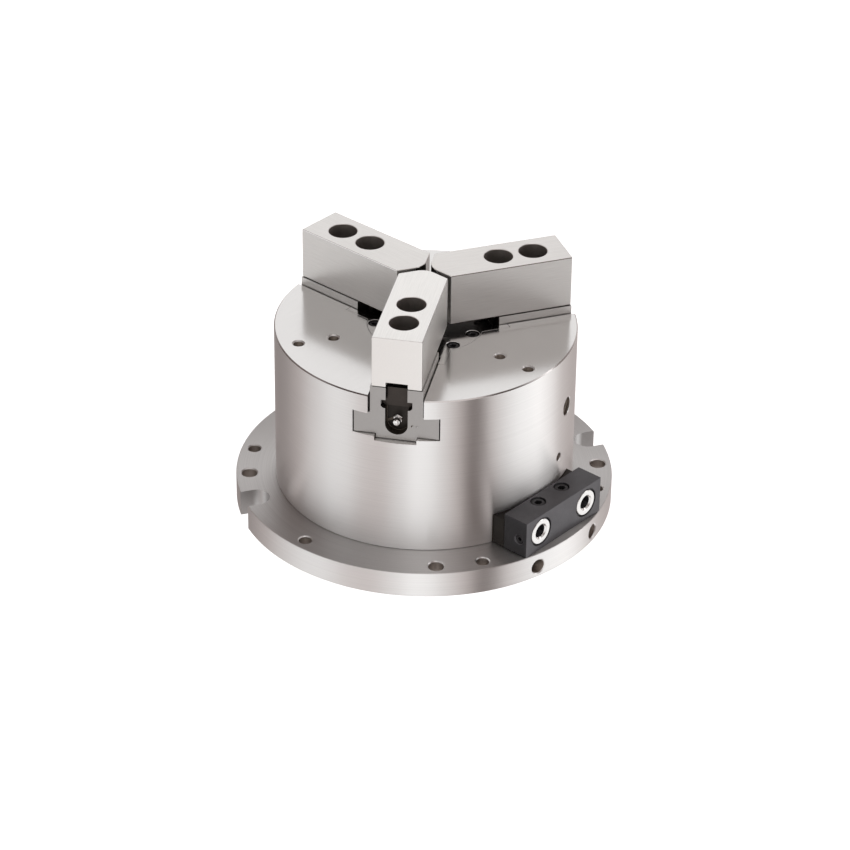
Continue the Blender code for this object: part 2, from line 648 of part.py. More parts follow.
def make_body_housing():
    profile = [
        (0.0, BODY_TOP),
        (BODY_RADIUS - BODY_CHAMFER, BODY_TOP),
        (BODY_RADIUS, BODY_TOP - BODY_CHAMFER),
        (BODY_RADIUS, BODY_BOTTOM),
        (0.0, BODY_BOTTOM),
    ]
    body = turned("body_housing", profile, steps=ROUND_STEPS)
    seal_radius, seal_low, seal_high = ROD_SEAL_GROOVE
    bore = [
        (0.0, BODY_TOP + OVERSHOOT),
        (PLUNGER_BORE_RADIUS, BODY_TOP + OVERSHOOT),
        (PLUNGER_BORE_RADIUS, seal_high),
        (seal_radius, seal_high),
        (seal_radius, seal_low),
        (PLUNGER_BORE_RADIUS, seal_low),
        (PLUNGER_BORE_RADIUS, BORE_TOP),
        (BORE_RADIUS, BORE_TOP),
        (BORE_RADIUS, BODY_BOTTOM - OVERSHOOT),
        (0.0, BODY_BOTTOM - OVERSHOOT),
    ]
    combine(body, turned("bore_cut", bore, steps=ROUND_STEPS))
    cut_jaw_slots(body)
    cut_cover_recess(body)
    cut_face_holes(body)
    cut_side_holes(body)
    cut_air_passages(body)
    for angle in BODY_SCREW_ANGLES:
        name = f"body_screw_{angle}_body_cut"
        low = BODY_BOTTOM - OVERSHOOT
        high = BODY_SCREW_LENGTH - BODY_SCREW_SEAT + OVERSHOOT
        place = around(angle, BODY_SCREW_CIRCLE)
        combine(body, thread_hole(name, BODY_SCREW, low, high, place))
    return finish(body, BRIGHT_STEEL)


def make_side_plug():
    place = pointing_out(PLUG_HOLE_ANGLE, BODY_RADIUS, PLUG_HOLE_HEIGHT)
    inner = -PLUG_HOLE_DEPTH + GAP
    outer = -SIDE_PLUG_SINK
    plug = cylinder("side_plug", PLUG_HOLE_RADIUS - GAP, inner, outer, place)
    socket = (SIDE_PLUG_SOCKET_RADIUS, outer, PLUG_SOCKET_DEPTH)
    combine(plug, hex_socket("side_plug_socket", *socket, place))
    return finish(plug, BRIGHT_STEEL)


# Centre cover


def make_centre_cover():
    slot = [
        (FINGER_END, -COVER_SLOT_HALF_WIDTH),
        (COVER_SLOT_START, -COVER_SLOT_HALF_WIDTH),
        (COVER_SLOT_START, COVER_SLOT_HALF_WIDTH),
        (FINGER_END, COVER_SLOT_HALF_WIDTH),
    ]
    outline = cover_outline(COVER_RADIUS, FINGER_HALF_WIDTH, FINGER_END, slot)
    cover = extruded("centre_cover", outline, COVER_BOTTOM, BODY_TOP)
    high = BODY_TOP + OVERSHOOT
    low = COVER_BOTTOM - OVERSHOOT
    for sector in SECTOR_ANGLES:
        for offset in COVER_SCREW_OFFSETS:
            name = f"cover_screw_{sector + offset}_cut"
            place = around(sector + offset, COVER_SCREW_CIRCLE)
            combine(cover, screw_hole(name, COVER_SCREW, COVER_SCREW_SEAT, low, high, place))
    return finish(cover, BRIGHT_STEEL)


def make_cover_screw(number, angle):
    place = around(angle, COVER_SCREW_CIRCLE)
    name = f"cover_screw_{number}"
    return socket_screw(name, COVER_SCREW, COVER_SCREW_SEAT, COVER_SCREW_LENGTH, place)


# Piston and wedge plunger


def make_piston():
    seal_radius, seal_low, seal_high = SEAL_GROOVE
    wear_radius, wear_low, wear_high = WEAR_GROOVE
    profile = [
        (0.0, PISTON_TOP),
        (PISTON_RADIUS - PISTON_CHAMFER, PISTON_TOP),
        (PISTON_RADIUS, PISTON_TOP - PISTON_CHAMFER),
        (PISTON_RADIUS, seal_high),
        (seal_radius, seal_high),
        (seal_radius, seal_low),
        (PISTON_RADIUS, seal_low),
        (PISTON_RADIUS, wear_high),
        (wear_radius, wear_high),
        (wear_radius, wear_low),
        (PISTON_RADIUS, wear_low),
        (PISTON_RADIUS, PISTON_BOTTOM + PISTON_CHAMFER),
        (PISTON_RADIUS - PISTON_CHAMFER, PISTON_BOTTOM),
        (0.0, PISTON_BOTTOM),
    ]
    piston = turned("piston", profile, steps=ROUND_STEPS)
    for number, angle in enumerate(SECTOR_ANGLES, 1):
        name = f"plunger_screw_{number}_piston_cut"
        low = -PISTON_TOP - OVERSHOOT
        high = -PISTON_BOTTOM + OVERSHOOT
        place = around(angle, PLUNGER_SCREW_CIRCLE) @ UPSIDE_DOWN
        combine(piston, screw_hole(name, BODY_SCREW, PLUNGER_SCREW_SEAT, low, high, place))
    return finish(piston, PISTON_ALUMINIUM)


def make_piston_ring(name, groove, look):
    radius, low, high = groove
    outer = BORE_RADIUS - PISTON_RING_CLEARANCE
    ring = washer(name, radius + GAP, outer, low + GAP, high - GAP, steps=ROUND_STEPS)
    return finish(ring, look)


def hook_outline(clearance, root):
    """The hook in plan: a narrow neck that runs out to its root, and a wide head at its inner end."""
    head = HOOK_HEAD_HALF_WIDTH + clearance
    neck = HOOK_NECK_HALF_WIDTH + clearance
    return [
        (HOOK_HEAD_START - clearance, -head),
        (HOOK_HEAD_END + clearance, -head),
        (HOOK_HEAD_END + clearance, -neck),
        (root, -neck),
        (root, neck),
        (HOOK_HEAD_END + clearance, neck),
        (HOOK_HEAD_END + clearance, head),
        (HOOK_HEAD_START - clearance, head),
    ]


def slanted(obj):
    """Leans a hook or its slot along the wedge slope: further out the lower it is."""
    for vertex in obj.data.vertices:
        vertex.co.x += WEDGE_SLOPE * (HOOK_MIDDLE - vertex.co.z)
    return obj


def make_wedge_plunger():
    plunger = cylinder(
        "wedge_plunger", PLUNGER_RADIUS, PLUNGER_BOTTOM, PLUNGER_TOP, steps=ROUND_STEPS
    )
    outline = hook_outline(HOOK_CLEARANCE, PLUNGER_RADIUS + JAW_STROKE + OVERSHOOT)
    high = PLUNGER_TOP + OVERSHOOT
    for number, angle in enumerate(JAW_ANGLES, 1):
        name = f"wedge_slot_{number}_cut"
        slot = extruded(name, outline, PLUNGER_SLOT_BOTTOM, high, place=around(angle))
        combine(plunger, slanted(slot))
    for number, angle in enumerate(SECTOR_ANGLES, 1):
        place = around(angle, PLUNGER_SCREW_CIRCLE)
        name = f"plunger_screw_{number}_plunger_cut"
        low = PLUNGER_BOTTOM - OVERSHOOT
        high = PLUNGER_SCREW_LENGTH - PLUNGER_SCREW_SEAT + OVERSHOOT
        combine(plunger, thread_hole(name, BODY_SCREW, low, high, place))
    return finish(plunger, MASTER_STEEL)


def make_plunger_screw(number, angle):
    place = around(angle, PLUNGER_SCREW_CIRCLE) @ UPSIDE_DOWN
    name = f"plunger_screw_{number}"
    return socket_screw(name, BODY_SCREW, PLUNGER_SCREW_SEAT, PLUNGER_SCREW_LENGTH, place)


def make_rod_seal():
    radius, low, high = ROD_SEAL_GROOVE
    inner = PLUNGER_RADIUS + ROD_SEAL_CLEARANCE
    seal = washer(
        "plunger_rod_seal", inner, radius - GAP, low + GAP, high - GAP, steps=ROUND_STEPS
    )
    return finish(seal, SEAL_RUBBER)


# Jaws, each built pointing along +X and turned to its angle by an empty on the gripper's axis


def make_master_jaw(number):
    right = [
        (NECK_HALF_WIDTH, MASTER_TOP),
        (NECK_HALF_WIDTH, FOOT_TOP),
        (FOOT_HALF_WIDTH, FOOT_TOP),
        (FOOT_HALF_WIDTH, FOOT_BOTTOM),
        (TONGUE_HALF_WIDTH, FOOT_BOTTOM),
        (TONGUE_HALF_WIDTH, TONGUE_BOTTOM),
    ]
    name = f"master_jaw_{number}"
    jaw = extruded(name, mirrored(right), MASTER_INNER_END, MASTER_OUTER_END, "X")
    half = NECK_HALF_WIDTH + OVERSHOOT
    near = (MASTER_INNER_END - OVERSHOOT, -half, MASTER_LOW_TOP)
    far = (MASTER_NECK_START, half, MASTER_TOP + OVERSHOOT)
    combine(jaw, block(f"{name}_low_cut", near, far))
    hook = extruded(f"{name}_hook_add", hook_outline(0.0, HOOK_ROOT), HOOK_BOTTOM, HOOK_TOP)
    combine(jaw, slanted(hook), "UNION")
    key = [
        (KEY_HALF_WIDTH, MASTER_TOP + OVERSHOOT),
        (KEY_HALF_WIDTH, NUT_SLOT_TOP),
        (NUT_SLOT_HALF_WIDTH, NUT_SLOT_TOP),
        (NUT_SLOT_HALF_WIDTH, NUT_SLOT_BOTTOM),
    ]
    far = MASTER_OUTER_END + OVERSHOOT
    combine(jaw, extruded(f"{name}_nut_cut", mirrored(key), NUT_SLOT_START, far, "X"))
    slope = NUT_SLOT_HALF_WIDTH - GROOVE_HALF_WIDTH
    bottom = (0.0, GROOVE_BOTTOM + GROOVE_HALF_WIDTH)
    groove = [
        (0.0, NUT_SLOT_BOTTOM + OVERSHOOT),
        (NUT_SLOT_HALF_WIDTH, NUT_SLOT_BOTTOM),
        (GROOVE_HALF_WIDTH, NUT_SLOT_BOTTOM - slope),
    ]
    groove += arc(bottom, GROOVE_HALF_WIDTH, 0, -180, SMALL_STEPS // 2)
    groove.append((-GROOVE_HALF_WIDTH, NUT_SLOT_BOTTOM - slope))
    groove.append((-NUT_SLOT_HALF_WIDTH, NUT_SLOT_BOTTOM))
    combine(jaw, extruded(f"{name}_groove_cut", groove, GROOVE_START, far, "X"))
    wall = pointing_out(0, GROOVE_START, NIPPLE_HEIGHT)
    radius = NIPPLE_STEM_RADIUS + GAP
    depth = -NIPPLE_STEM_LENGTH - GAP
    combine(jaw, cylinder(f"{name}_nipple_cut", radius, depth, OVERSHOOT, wall, SCREW_STEPS))
    return finish(jaw, MASTER_STEEL)


def nose_outline():
    """The top jaw in plan: a square outer end, and a nose of two faces 120 degrees apart."""
    slope = math.radians(NOSE_SLOPE)
    apex = NOSE_CORNER - TOP_JAW_HALF_WIDTH * math.tan(slope)
    centre = (apex + NOSE_RADIUS / math.cos(slope), 0.0)
    outline = [
        (TOP_JAW_OUTER_END, -TOP_JAW_HALF_WIDTH),
        (TOP_JAW_OUTER_END, TOP_JAW_HALF_WIDTH),
        (NOSE_CORNER, TOP_JAW_HALF_WIDTH),
    ]
    outline += arc(centre, NOSE_RADIUS, 180 - NOSE_SLOPE, 180 + NOSE_SLOPE, NOSE_ARC_STEPS)
    outline.append((NOSE_CORNER, -TOP_JAW_HALF_WIDTH))
    return outline


def make_top_jaw(number):
    name = f"top_jaw_{number}"
    jaw = extruded(name, nose_outline(), TOP_JAW_BOTTOM, TOP_JAW_TOP)
    near = (KEYWAY_START, -KEY_HALF_WIDTH, TOP_JAW_BOTTOM - OVERSHOOT)
    far = (TOP_JAW_OUTER_END + OVERSHOOT, KEY_HALF_WIDTH, KEYWAY_TOP)
    combine(jaw, block(f"{name}_keyway_cut", near, far))
    for row, distance in enumerate(JAW_BOLTS, 1):
        high = TOP_JAW_TOP + OVERSHOOT
        low = TOP_JAW_BOTTOM - OVERSHOOT
        hole = (COUNTERBORE_RADIUS, JAW_BOLT_HOLE_RADIUS, COUNTERBORE_FLOOR, low, high)
        place = around(0, distance)
        combine(jaw, stepped_hole(f"{name}_bolt_{row}_cut", *hole, place))
    return finish(jaw, GROUND_STEEL)


def make_t_nut(number):
    name = f"t_nut_{number}"
    key = KEY_HALF_WIDTH - GAP
    foot = NUT_SLOT_HALF_WIDTH - GAP
    right = [
        (key, NUT_TOP),
        (key, NUT_SLOT_TOP - GAP),
        (foot, NUT_SLOT_TOP - GAP),
        (foot, NUT_SLOT_BOTTOM + GAP),
    ]
    nut = extruded(name, mirrored(right), NUT_START, NUT_END, "X")
    for row, distance in enumerate(JAW_BOLTS, 1):
        low = NUT_SLOT_BOTTOM - OVERSHOOT
        high = NUT_TOP + OVERSHOOT
        place = around(0, distance)
        combine(nut, thread_hole(f"{name}_bolt_{row}_cut", JAW_SCREW, low, high, place))
    return finish(nut, DARK_STEEL)


def make_jaw_screw(number, row, distance):
    seat = COUNTERBORE_FLOOR + GAP
    length = seat - NUT_SLOT_BOTTOM - 2 * GAP
    return socket_screw(f"jaw_{number}_screw_{row}", JAW_SCREW, seat, length, around(0, distance))


def make_grease_nipple(number):
    ball_centre = (0.0, NIPPLE_BALL_DISTANCE)
    profile = [(0.0, NIPPLE_BALL_DISTANCE + NIPPLE_BALL_RADIUS)]
    profile += arc(ball_centre, NIPPLE_BALL_RADIUS, 75, -40, 4)
    profile += [
        (NIPPLE_NECK_RADIUS, NIPPLE_COLLAR_HEIGHT + GAP),
        (NIPPLE_COLLAR_RADIUS, NIPPLE_COLLAR_HEIGHT),
        (NIPPLE_COLLAR_RADIUS, GAP),
        (NIPPLE_STEM_RADIUS, GAP),
        (NIPPLE_STEM_RADIUS, -NIPPLE_STEM_LENGTH),
        (0.0, -NIPPLE_STEM_LENGTH),
    ]
    place = pointing_out(0, GROOVE_START, NIPPLE_HEIGHT)
    return finish(turned(f"grease_nipple_{number}", profile, place, SCREW_STEPS), BRIGHT_STEEL)


def make_jaw(number, angle):
    """One jaw's pieces, parented to an empty whose X axis is the jaw's slide."""
    slide = bpy.data.objects.new(f"jaw_{number}_slide", None)
    PARTS.objects.link(slide)
    slide.empty_display_size = 20 * MM
    slide.matrix_world = around(angle)
    pieces = [
        make_master_jaw(number),
        make_top_jaw(number),
        make_t_nut(number),
        make_grease_nipple(number),
    ]
    pieces += [make_jaw_screw(number, row, bolt) for row, bolt in enumerate(JAW_BOLTS, 1)]
    for piece in pieces:
        piece.parent = slide
        for modifier in piece.modifiers:
            if modifier.type == "BOOLEAN":
                modifier.object.parent = slide
    return pieces


# Air manifold


def facing_front(offset, height):
    """A frame on the manifold's front face, with its Z axis pointing out of the face."""
    place = Matrix.Translation((offset, -BLOCK_FRONT, height))
    return place @ Matrix.Rotation(math.radians(90), 4, "X")


def facing_spacer_back(offset):
    """A frame on the spacer's back face, with its Z axis pointing into the body."""
    place = Matrix.Translation((offset, -FLAT_DISTANCE - GAP, PORT_HEIGHT))
    return place @ Matrix.Rotation(math.radians(-90), 4, "X")


def make_manifold_block():
    low = (-BLOCK_HALF_LENGTH, -BLOCK_FRONT, BODY_BOTTOM)
    high = (BLOCK_HALF_LENGTH, -BLOCK_BACK, BLOCK_TOP)
    manifold = block("manifold_block", low, high)
    edges = manifold.modifiers.new("edges", "BEVEL")
    edges.width = BLOCK_BEVEL
    edges.segments = 1
    depth = BLOCK_BACK - BLOCK_FRONT - OVERSHOOT
    for number, offset in enumerate(PORT_OFFSETS, 1):
        hole = (PORT_RECESS_RADIUS, PORT_RADIUS, -PORT_RECESS_DEPTH, depth, OVERSHOOT)
        place = facing_front(offset, PORT_HEIGHT)
        combine(manifold, stepped_hole(f"port_{number}_cut", *hole, place))
    for number, offset in enumerate(BLOCK_SCREW_OFFSETS, 1):
        place = Matrix.Translation((offset, -BLOCK_SCREW_DISTANCE, 0.0))
        name = f"manifold_screw_{number}_cut"
        low = BODY_BOTTOM - OVERSHOOT
        high = BLOCK_TOP + OVERSHOOT
        combine(manifold, screw_hole(name, BLOCK_SCREW, BLOCK_SCREW_SEAT, low, high, place))
    hole = (END_PLUG_RADIUS, -END_PLUG_DEPTH, OVERSHOOT)
    combine(manifold, cylinder("end_plug_cut", *hole, end_plug_place(), SCREW_STEPS))
    return finish(manifold, BLACK_ANODISED)


def end_plug_place():
    """A frame on the manifold's left end, with its Z axis pointing out of it."""
    place = Matrix.Translation((-BLOCK_HALF_LENGTH, -END_PLUG_DISTANCE, END_PLUG_HEIGHT))
    return place @ Matrix.Rotation(math.radians(-90), 4, "Y")


def make_end_plug():
    place = end_plug_place()
    outer = -END_PLUG_SINK
    size = (END_PLUG_RADIUS - GAP, -END_PLUG_DEPTH + GAP, outer)
    plug = cylinder("manifold_end_plug", *size, place, SCREW_STEPS)
    depth = END_PLUG_DEPTH / 2
    combine(plug, hex_socket("end_plug_socket", END_PLUG_SOCKET_RADIUS, outer, depth, place))
    return finish(plug, BLACK_OXIDE)


def make_port_ring(number, offset):
    name = f"port_ring_{number}"
    place = facing_front(offset, PORT_HEIGHT)
    size = (PORT_RADIUS, PORT_RING_RADIUS, -PORT_RECESS_DEPTH + GAP, -PORT_RING_SINK)
    return finish(washer(name, *size, place, 2 * SCREW_STEPS), BRIGHT_STEEL)


def make_manifold_screw(number, offset):
    place = Matrix.Translation((offset, -BLOCK_SCREW_DISTANCE, 0.0))
    name = f"manifold_screw_{number}"
    return socket_screw(name, BLOCK_SCREW, BLOCK_SCREW_SEAT, BLOCK_SCREW_LENGTH, place)


def make_manifold_spacer():
    half = BLOCK_HALF_LENGTH - GAP
    low = (-half, -BLOCK_BACK + GAP, BODY_BOTTOM)
    high = (half, -FLAT_DISTANCE - GAP, SPACER_TOP)
    spacer = block("manifold_spacer", low, high)
    for number, offset in enumerate(PORT_OFFSETS, 1):
        depth = FLAT_DISTANCE - BLOCK_BACK - OVERSHOOT
        hole = (FACE_SEAL_RADIUS, PORT_RADIUS, -FACE_SEAL_DEPTH, depth, OVERSHOOT)
        place = facing_spacer_back(offset)
        combine(spacer, stepped_hole(f"spacer_port_{number}_cut", *hole, place))
    return finish(spacer, BLACK_OXIDE)


def make_manifold_o_ring(number, offset):
    place = facing_spacer_back(offset)
    name = f"manifold_o_ring_{number}"
    outer = FACE_SEAL_RADIUS - GAP
    low = -FACE_SEAL_DEPTH + FACE_SEAL_SQUEEZE
    ring = washer(name, FACE_SEAL_HOLE_RADIUS, outer, low, FACE_SEAL_SQUEEZE, place)
    return finish(ring, SEAL_RUBBER)


def settle(obj):
    """Applies the modifiers, and shades the object smooth between its sharp edges."""
    graph = bpy.context.evaluated_depsgraph_get()
    mesh = bpy.data.meshes.new_from_object(obj.evaluated_get(graph))
    obj.modifiers.clear()
    obj.data = mesh
    mesh.shade_smooth()
    mesh.set_sharp_from_angle(angle=SHARP_ANGLE)


def make_gripper():
    parts = [make_base_flange(), make_flange_o_ring(), make_body_housing(), make_side_plug()]
    parts += [make_rim_plug(n, angle) for n, angle in enumerate(RIM_PORT_ANGLES, 1)]
    parts += [make_body_screw(n, angle) for n, angle in enumerate(BODY_SCREW_ANGLES, 1)]
    parts.append(make_centre_cover())
    cover_screw_angles = [s + offset for s in SECTOR_ANGLES for offset in COVER_SCREW_OFFSETS]
    parts += [make_cover_screw(n, angle) for n, angle in enumerate(cover_screw_angles, 1)]
    parts += [make_piston(), make_wedge_plunger(), make_rod_seal()]
    parts.append(make_piston_ring("piston_seal", SEAL_GROOVE, SEAL_RUBBER))
    parts.append(make_piston_ring("piston_wear_ring", WEAR_GROOVE, WEAR_PLASTIC))
    parts += [make_plunger_screw(n, angle) for n, angle in enumerate(SECTOR_ANGLES, 1)]
    for number, angle in enumerate(JAW_ANGLES, 1):
        parts += make_jaw(number, angle)
    parts += [make_manifold_block(), make_manifold_spacer(), make_end_plug()]
    for number, offset in enumerate(PORT_OFFSETS, 1):
        parts.append(make_port_ring(number, offset))
        parts.append(make_manifold_o_ring(number, offset))
    parts += [make_manifold_screw(n, x) for n, x in enumerate(BLOCK_SCREW_OFFSETS, 1)]
    for part in parts:
        settle(part)


make_gripper()
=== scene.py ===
"""The looks of a three-jaw pneumatic gripper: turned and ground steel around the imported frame.

Units are metres, +Z is up and the origin is the centre of the base's underside. Sizes come from the
frame where it has them. Lengths that it doesn't give are named in millimetres below.
"""

import json
import math

import bmesh
import bpy
from mathutils import Matrix, Vector


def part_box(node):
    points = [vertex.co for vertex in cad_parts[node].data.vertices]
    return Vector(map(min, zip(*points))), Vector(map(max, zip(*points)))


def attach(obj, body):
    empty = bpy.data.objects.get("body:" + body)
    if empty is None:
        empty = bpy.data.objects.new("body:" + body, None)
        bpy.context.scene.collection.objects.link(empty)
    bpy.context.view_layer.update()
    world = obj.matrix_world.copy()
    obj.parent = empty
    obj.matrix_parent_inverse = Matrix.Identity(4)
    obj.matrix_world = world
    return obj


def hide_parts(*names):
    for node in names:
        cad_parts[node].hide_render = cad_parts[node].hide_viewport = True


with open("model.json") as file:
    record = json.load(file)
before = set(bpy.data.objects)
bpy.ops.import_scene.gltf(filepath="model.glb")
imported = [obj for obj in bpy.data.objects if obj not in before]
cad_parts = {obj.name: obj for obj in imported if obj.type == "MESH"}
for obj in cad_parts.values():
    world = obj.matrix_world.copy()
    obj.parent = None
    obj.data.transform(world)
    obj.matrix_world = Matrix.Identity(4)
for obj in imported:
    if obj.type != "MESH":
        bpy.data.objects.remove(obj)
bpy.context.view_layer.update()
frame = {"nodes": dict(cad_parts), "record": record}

MM = 0.001
JAW_ANGLES = {1: 90, 2: 210, 3: 330}
SECTOR_ANGLES = (30, 150, 270)
ROUND = 256  # steps around the body and the flange
FINE = 64  # steps around a screw or a ring
HOLE = 40  # steps around a drilled hole
CLEAR = 2 * MM  # how far a cutter reaches past a face
WELD = 0.002 * MM  # points nearer than this are one point
ON_RADIUS = 0.02 * MM  # how far off a radius a point may lie and still count as on it

OPENINGS = {o["name"]: [Vector(c) for c in o["box_m"]] for o in frame["record"]["physics"]["openings"]}


# Frames


def around(angle, distance=0.0, height=0.0):
    """A frame whose X axis points outwards at this angle, moved out and up."""
    return Matrix.Rotation(math.radians(angle), 4, "Z") @ Matrix.Translation((distance, 0.0, height))


def pointing_out(angle, distance, height):
    """A frame whose Z axis points outwards at this angle."""
    return around(angle, distance, height) @ Matrix.Rotation(math.radians(90), 4, "Y")


def upright(x, y, z=0.0):
    return Matrix.Translation((x, y, z))


def hanging(x, y, z=0.0):
    """A frame whose Z axis points down."""
    return upright(x, y, z) @ Matrix.Rotation(math.pi, 4, "X")


def facing_front(x, y, z):
    """A frame whose Z axis points to -Y."""
    return upright(x, y, z) @ Matrix.Rotation(math.radians(90), 4, "X")


def facing_left(x, y, z):
    """A frame whose Z axis points to -X."""
    return upright(x, y, z) @ Matrix.Rotation(math.radians(-90), 4, "Y")


def middle(node):
    low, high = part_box(node)
    return (low + high) / 2


# Mesh tools


def from_bmesh(name, shape, place=None):
    bmesh.ops.recalc_face_normals(shape, faces=shape.faces)
    mesh = bpy.data.meshes.new(name)
    shape.to_mesh(mesh)
    shape.free()
    obj = bpy.data.objects.new(name, mesh)
    bpy.context.scene.collection.objects.link(obj)
    obj.matrix_world = place or Matrix.Identity(4)
    return obj


def ring_points(radius, height, steps, knurl=0.0):
    """Points round a circle. Every other one is drawn in by knurl."""
    points = []
    for step in range(steps):
        angle = 2 * math.pi * step / steps
        r = radius - (knurl if step % 2 else 0.0)
        points.append((r * math.cos(angle), r * math.sin(angle), height))
    return points


def turned(name, profile, steps=FINE, place=None, closed=False, knurls=()):
    """A turned solid from (radius, height) points. A closed profile is a ring's section."""
    shape = bmesh.new()
    rows = []
    for index, (radius, height) in enumerate(profile):
        if radius <= 0:
            rows.append([shape.verts.new((0.0, 0.0, height))])
        else:
            knurl = knurls[index] if knurls else 0.0
            rows.append([shape.verts.new(p) for p in ring_points(radius, height, steps, knurl)])
    pairs = list(zip(rows, rows[1:]))
    if closed:
        pairs.append((rows[-1], rows[0]))
    for upper, lower in pairs:
        for step in range(steps):
            after = (step + 1) % steps
            if len(upper) == 1 and len(lower) == 1:
                continue
            if len(upper) == 1:
                shape.faces.new((upper[0], lower[after], lower[step]))
            elif len(lower) == 1:
                shape.faces.new((upper[step], upper[after], lower[0]))
            else:
                shape.faces.new((upper[step], upper[after], lower[after], lower[step]))
    return from_bmesh(name, shape, place)


def prism(name, outline, low, high, along="Z", place=None):
    """A flat outline extruded from low to high. Along X, the outline is drawn in Y and Z."""
    shape = bmesh.new()
    ends = []
    for level in (low, high):
        points = [(u, v, level) if along == "Z" else (level, u, v) for u, v in outline]
        ends.append([shape.verts.new(p) for p in points])
        shape.faces.new(ends[-1])
    count = len(outline)
    for i in range(count):
        j = (i + 1) % count
        shape.faces.new((ends[0][i], ends[0][j], ends[1][j], ends[1][i]))
    return from_bmesh(name, shape, place)


def box_between(name, low, high, place=None):
    outline = [(low[0], low[1]), (high[0], low[1]), (high[0], high[1]), (low[0], high[1])]
    return prism(name, outline, low[2], high[2], place=place)


def arc(centre, radius, start, end, steps):
    """Points on an arc, both ends included. Angles are in degrees."""
    points = []
    for step in range(steps + 1):
        angle = math.radians(start + (end - start) * step / steps)
        points.append((centre[0] + radius * math.cos(angle), centre[1] + radius * math.sin(angle)))
    return points


def mirrored(half):
    """A whole outline from its half at positive first coordinates, which runs downwards."""
    return half + [(-first, second) for first, second in reversed(half)]


def applied(obj):
    """Makes the object's modifiers part of its mesh."""
    graph = bpy.context.evaluated_depsgraph_get()
    mesh = bpy.data.meshes.new_from_object(obj.evaluated_get(graph))
    obj.modifiers.clear()
    obj.data = mesh
    return obj


def cut(obj, *cutters, operation="DIFFERENCE"):
    """Cuts the cutters from the object, or joins them to it, and removes them."""
    for cutter in cutters:
        modifier = obj.modifiers.new("cut", "BOOLEAN")
        modifier.operation = operation
        modifier.solver = "EXACT"
        modifier.object = cutter
        applied(obj)
        bpy.data.objects.remove(cutter)
    return obj


def clean(obj):
    """Welds doubled points and turns the faces outwards."""
    shape = bmesh.new()
    shape.from_mesh(obj.data)
    bmesh.ops.remove_doubles(shape, verts=shape.verts, dist=WELD)
    bmesh.ops.dissolve_degenerate(shape, edges=shape.edges, dist=WELD / 2)
    bmesh.ops.recalc_face_normals(shape, faces=shape.faces)
    shape.to_mesh(obj.data)
    shape.free()
    return obj


def ease_edges(obj, width, segments=2, angle=30):
    """Rounds every edge sharper than this angle."""
    clean(obj)
    bevel = obj.modifiers.new("edges", "BEVEL")
    bevel.width = width
    bevel.segments = segments
    bevel.limit_method = "ANGLE"
    bevel.angle_limit = math.radians(angle)
    bevel.use_clamp_overlap = True
    return applied(obj)


def smooth(obj, angle=28, rounds=()):
    """Smooth shading that keeps flat faces flat, and faces on these radii round their Z axis truly round."""
    clean(obj)
    obj.data.shade_smooth()
    obj.data.set_sharp_from_angle(angle=math.radians(angle))
    weighted = obj.modifiers.new("flat_faces", "WEIGHTED_NORMAL")
    weighted.weight = 100
    weighted.keep_sharp = True
    applied(obj)
    mesh = obj.data
    normals = [corner.vector.copy() for corner in mesh.corner_normals]
    for face in mesh.polygons:
        if abs(face.normal.z) > 0.01:
            continue
        points = [mesh.vertices[v].co for v in face.vertices]
        for radius in rounds:
            if all(abs(p.xy.length - radius) < ON_RADIUS for p in points):
                for loop, point in zip(face.loop_indices, points):
                    normals[loop] = Vector((point.x, point.y, 0.0)).normalized()
    if rounds:
        mesh.normals_split_custom_set(normals)
    return obj


def countersunk(name, radius, depth, ease, place, thread=0.0):
    """A drilled hole's cutter. It opens at Z = 0, with an eased mouth and a drill point at its end.

    thread is its pitch: the upper part of the wall gets rings of that pitch.
    """
    mouth = radius + ease
    profile = [(0.0, CLEAR), (mouth + CLEAR, CLEAR), (mouth, 0.0), (radius, -ease)]
    if thread:
        level = -ease
        while level - thread > -0.8 * depth:
            profile += [(radius + 0.35 * thread, level - thread / 2), (radius, level - thread)]
            level -= thread
    profile += [(radius, -depth), (0.0, -depth - 0.5 * radius)]
    return turned(name, profile, HOLE, place)


def through_hole(name, radius, thickness, ease, place):
    """A hole's cutter from Z = 0 down through a plate, eased at both faces."""
    mouth = radius + ease
    profile = [(0.0, CLEAR), (mouth + CLEAR, CLEAR), (mouth, 0.0), (radius, -ease)]
    profile += [(radius, -thickness + ease), (mouth, -thickness)]
    profile += [(mouth + CLEAR, -thickness - CLEAR), (0.0, -thickness - CLEAR)]
    return turned(name, profile, HOLE, place)


def counterbore(name, wide, narrow, shoulder, depth, ease, place, steps=FINE):
    """A cutter that is wide down to its shoulder and narrow below it, with an eased mouth at Z = 0."""
    mouth = wide + ease
    profile = [(0.0, CLEAR), (mouth + CLEAR, CLEAR), (mouth, 0.0), (wide, -ease)]
    profile += [(wide, -shoulder), (narrow, -shoulder), (narrow, -depth), (0.0, -depth)]
    return turned(name, profile, steps, place)


# Materials


def colour_of(slot_name):
    for material in frame["record"]["materials"]:
        if material["slot"] == slot_name:
            return tuple(material["base_color"][:3])


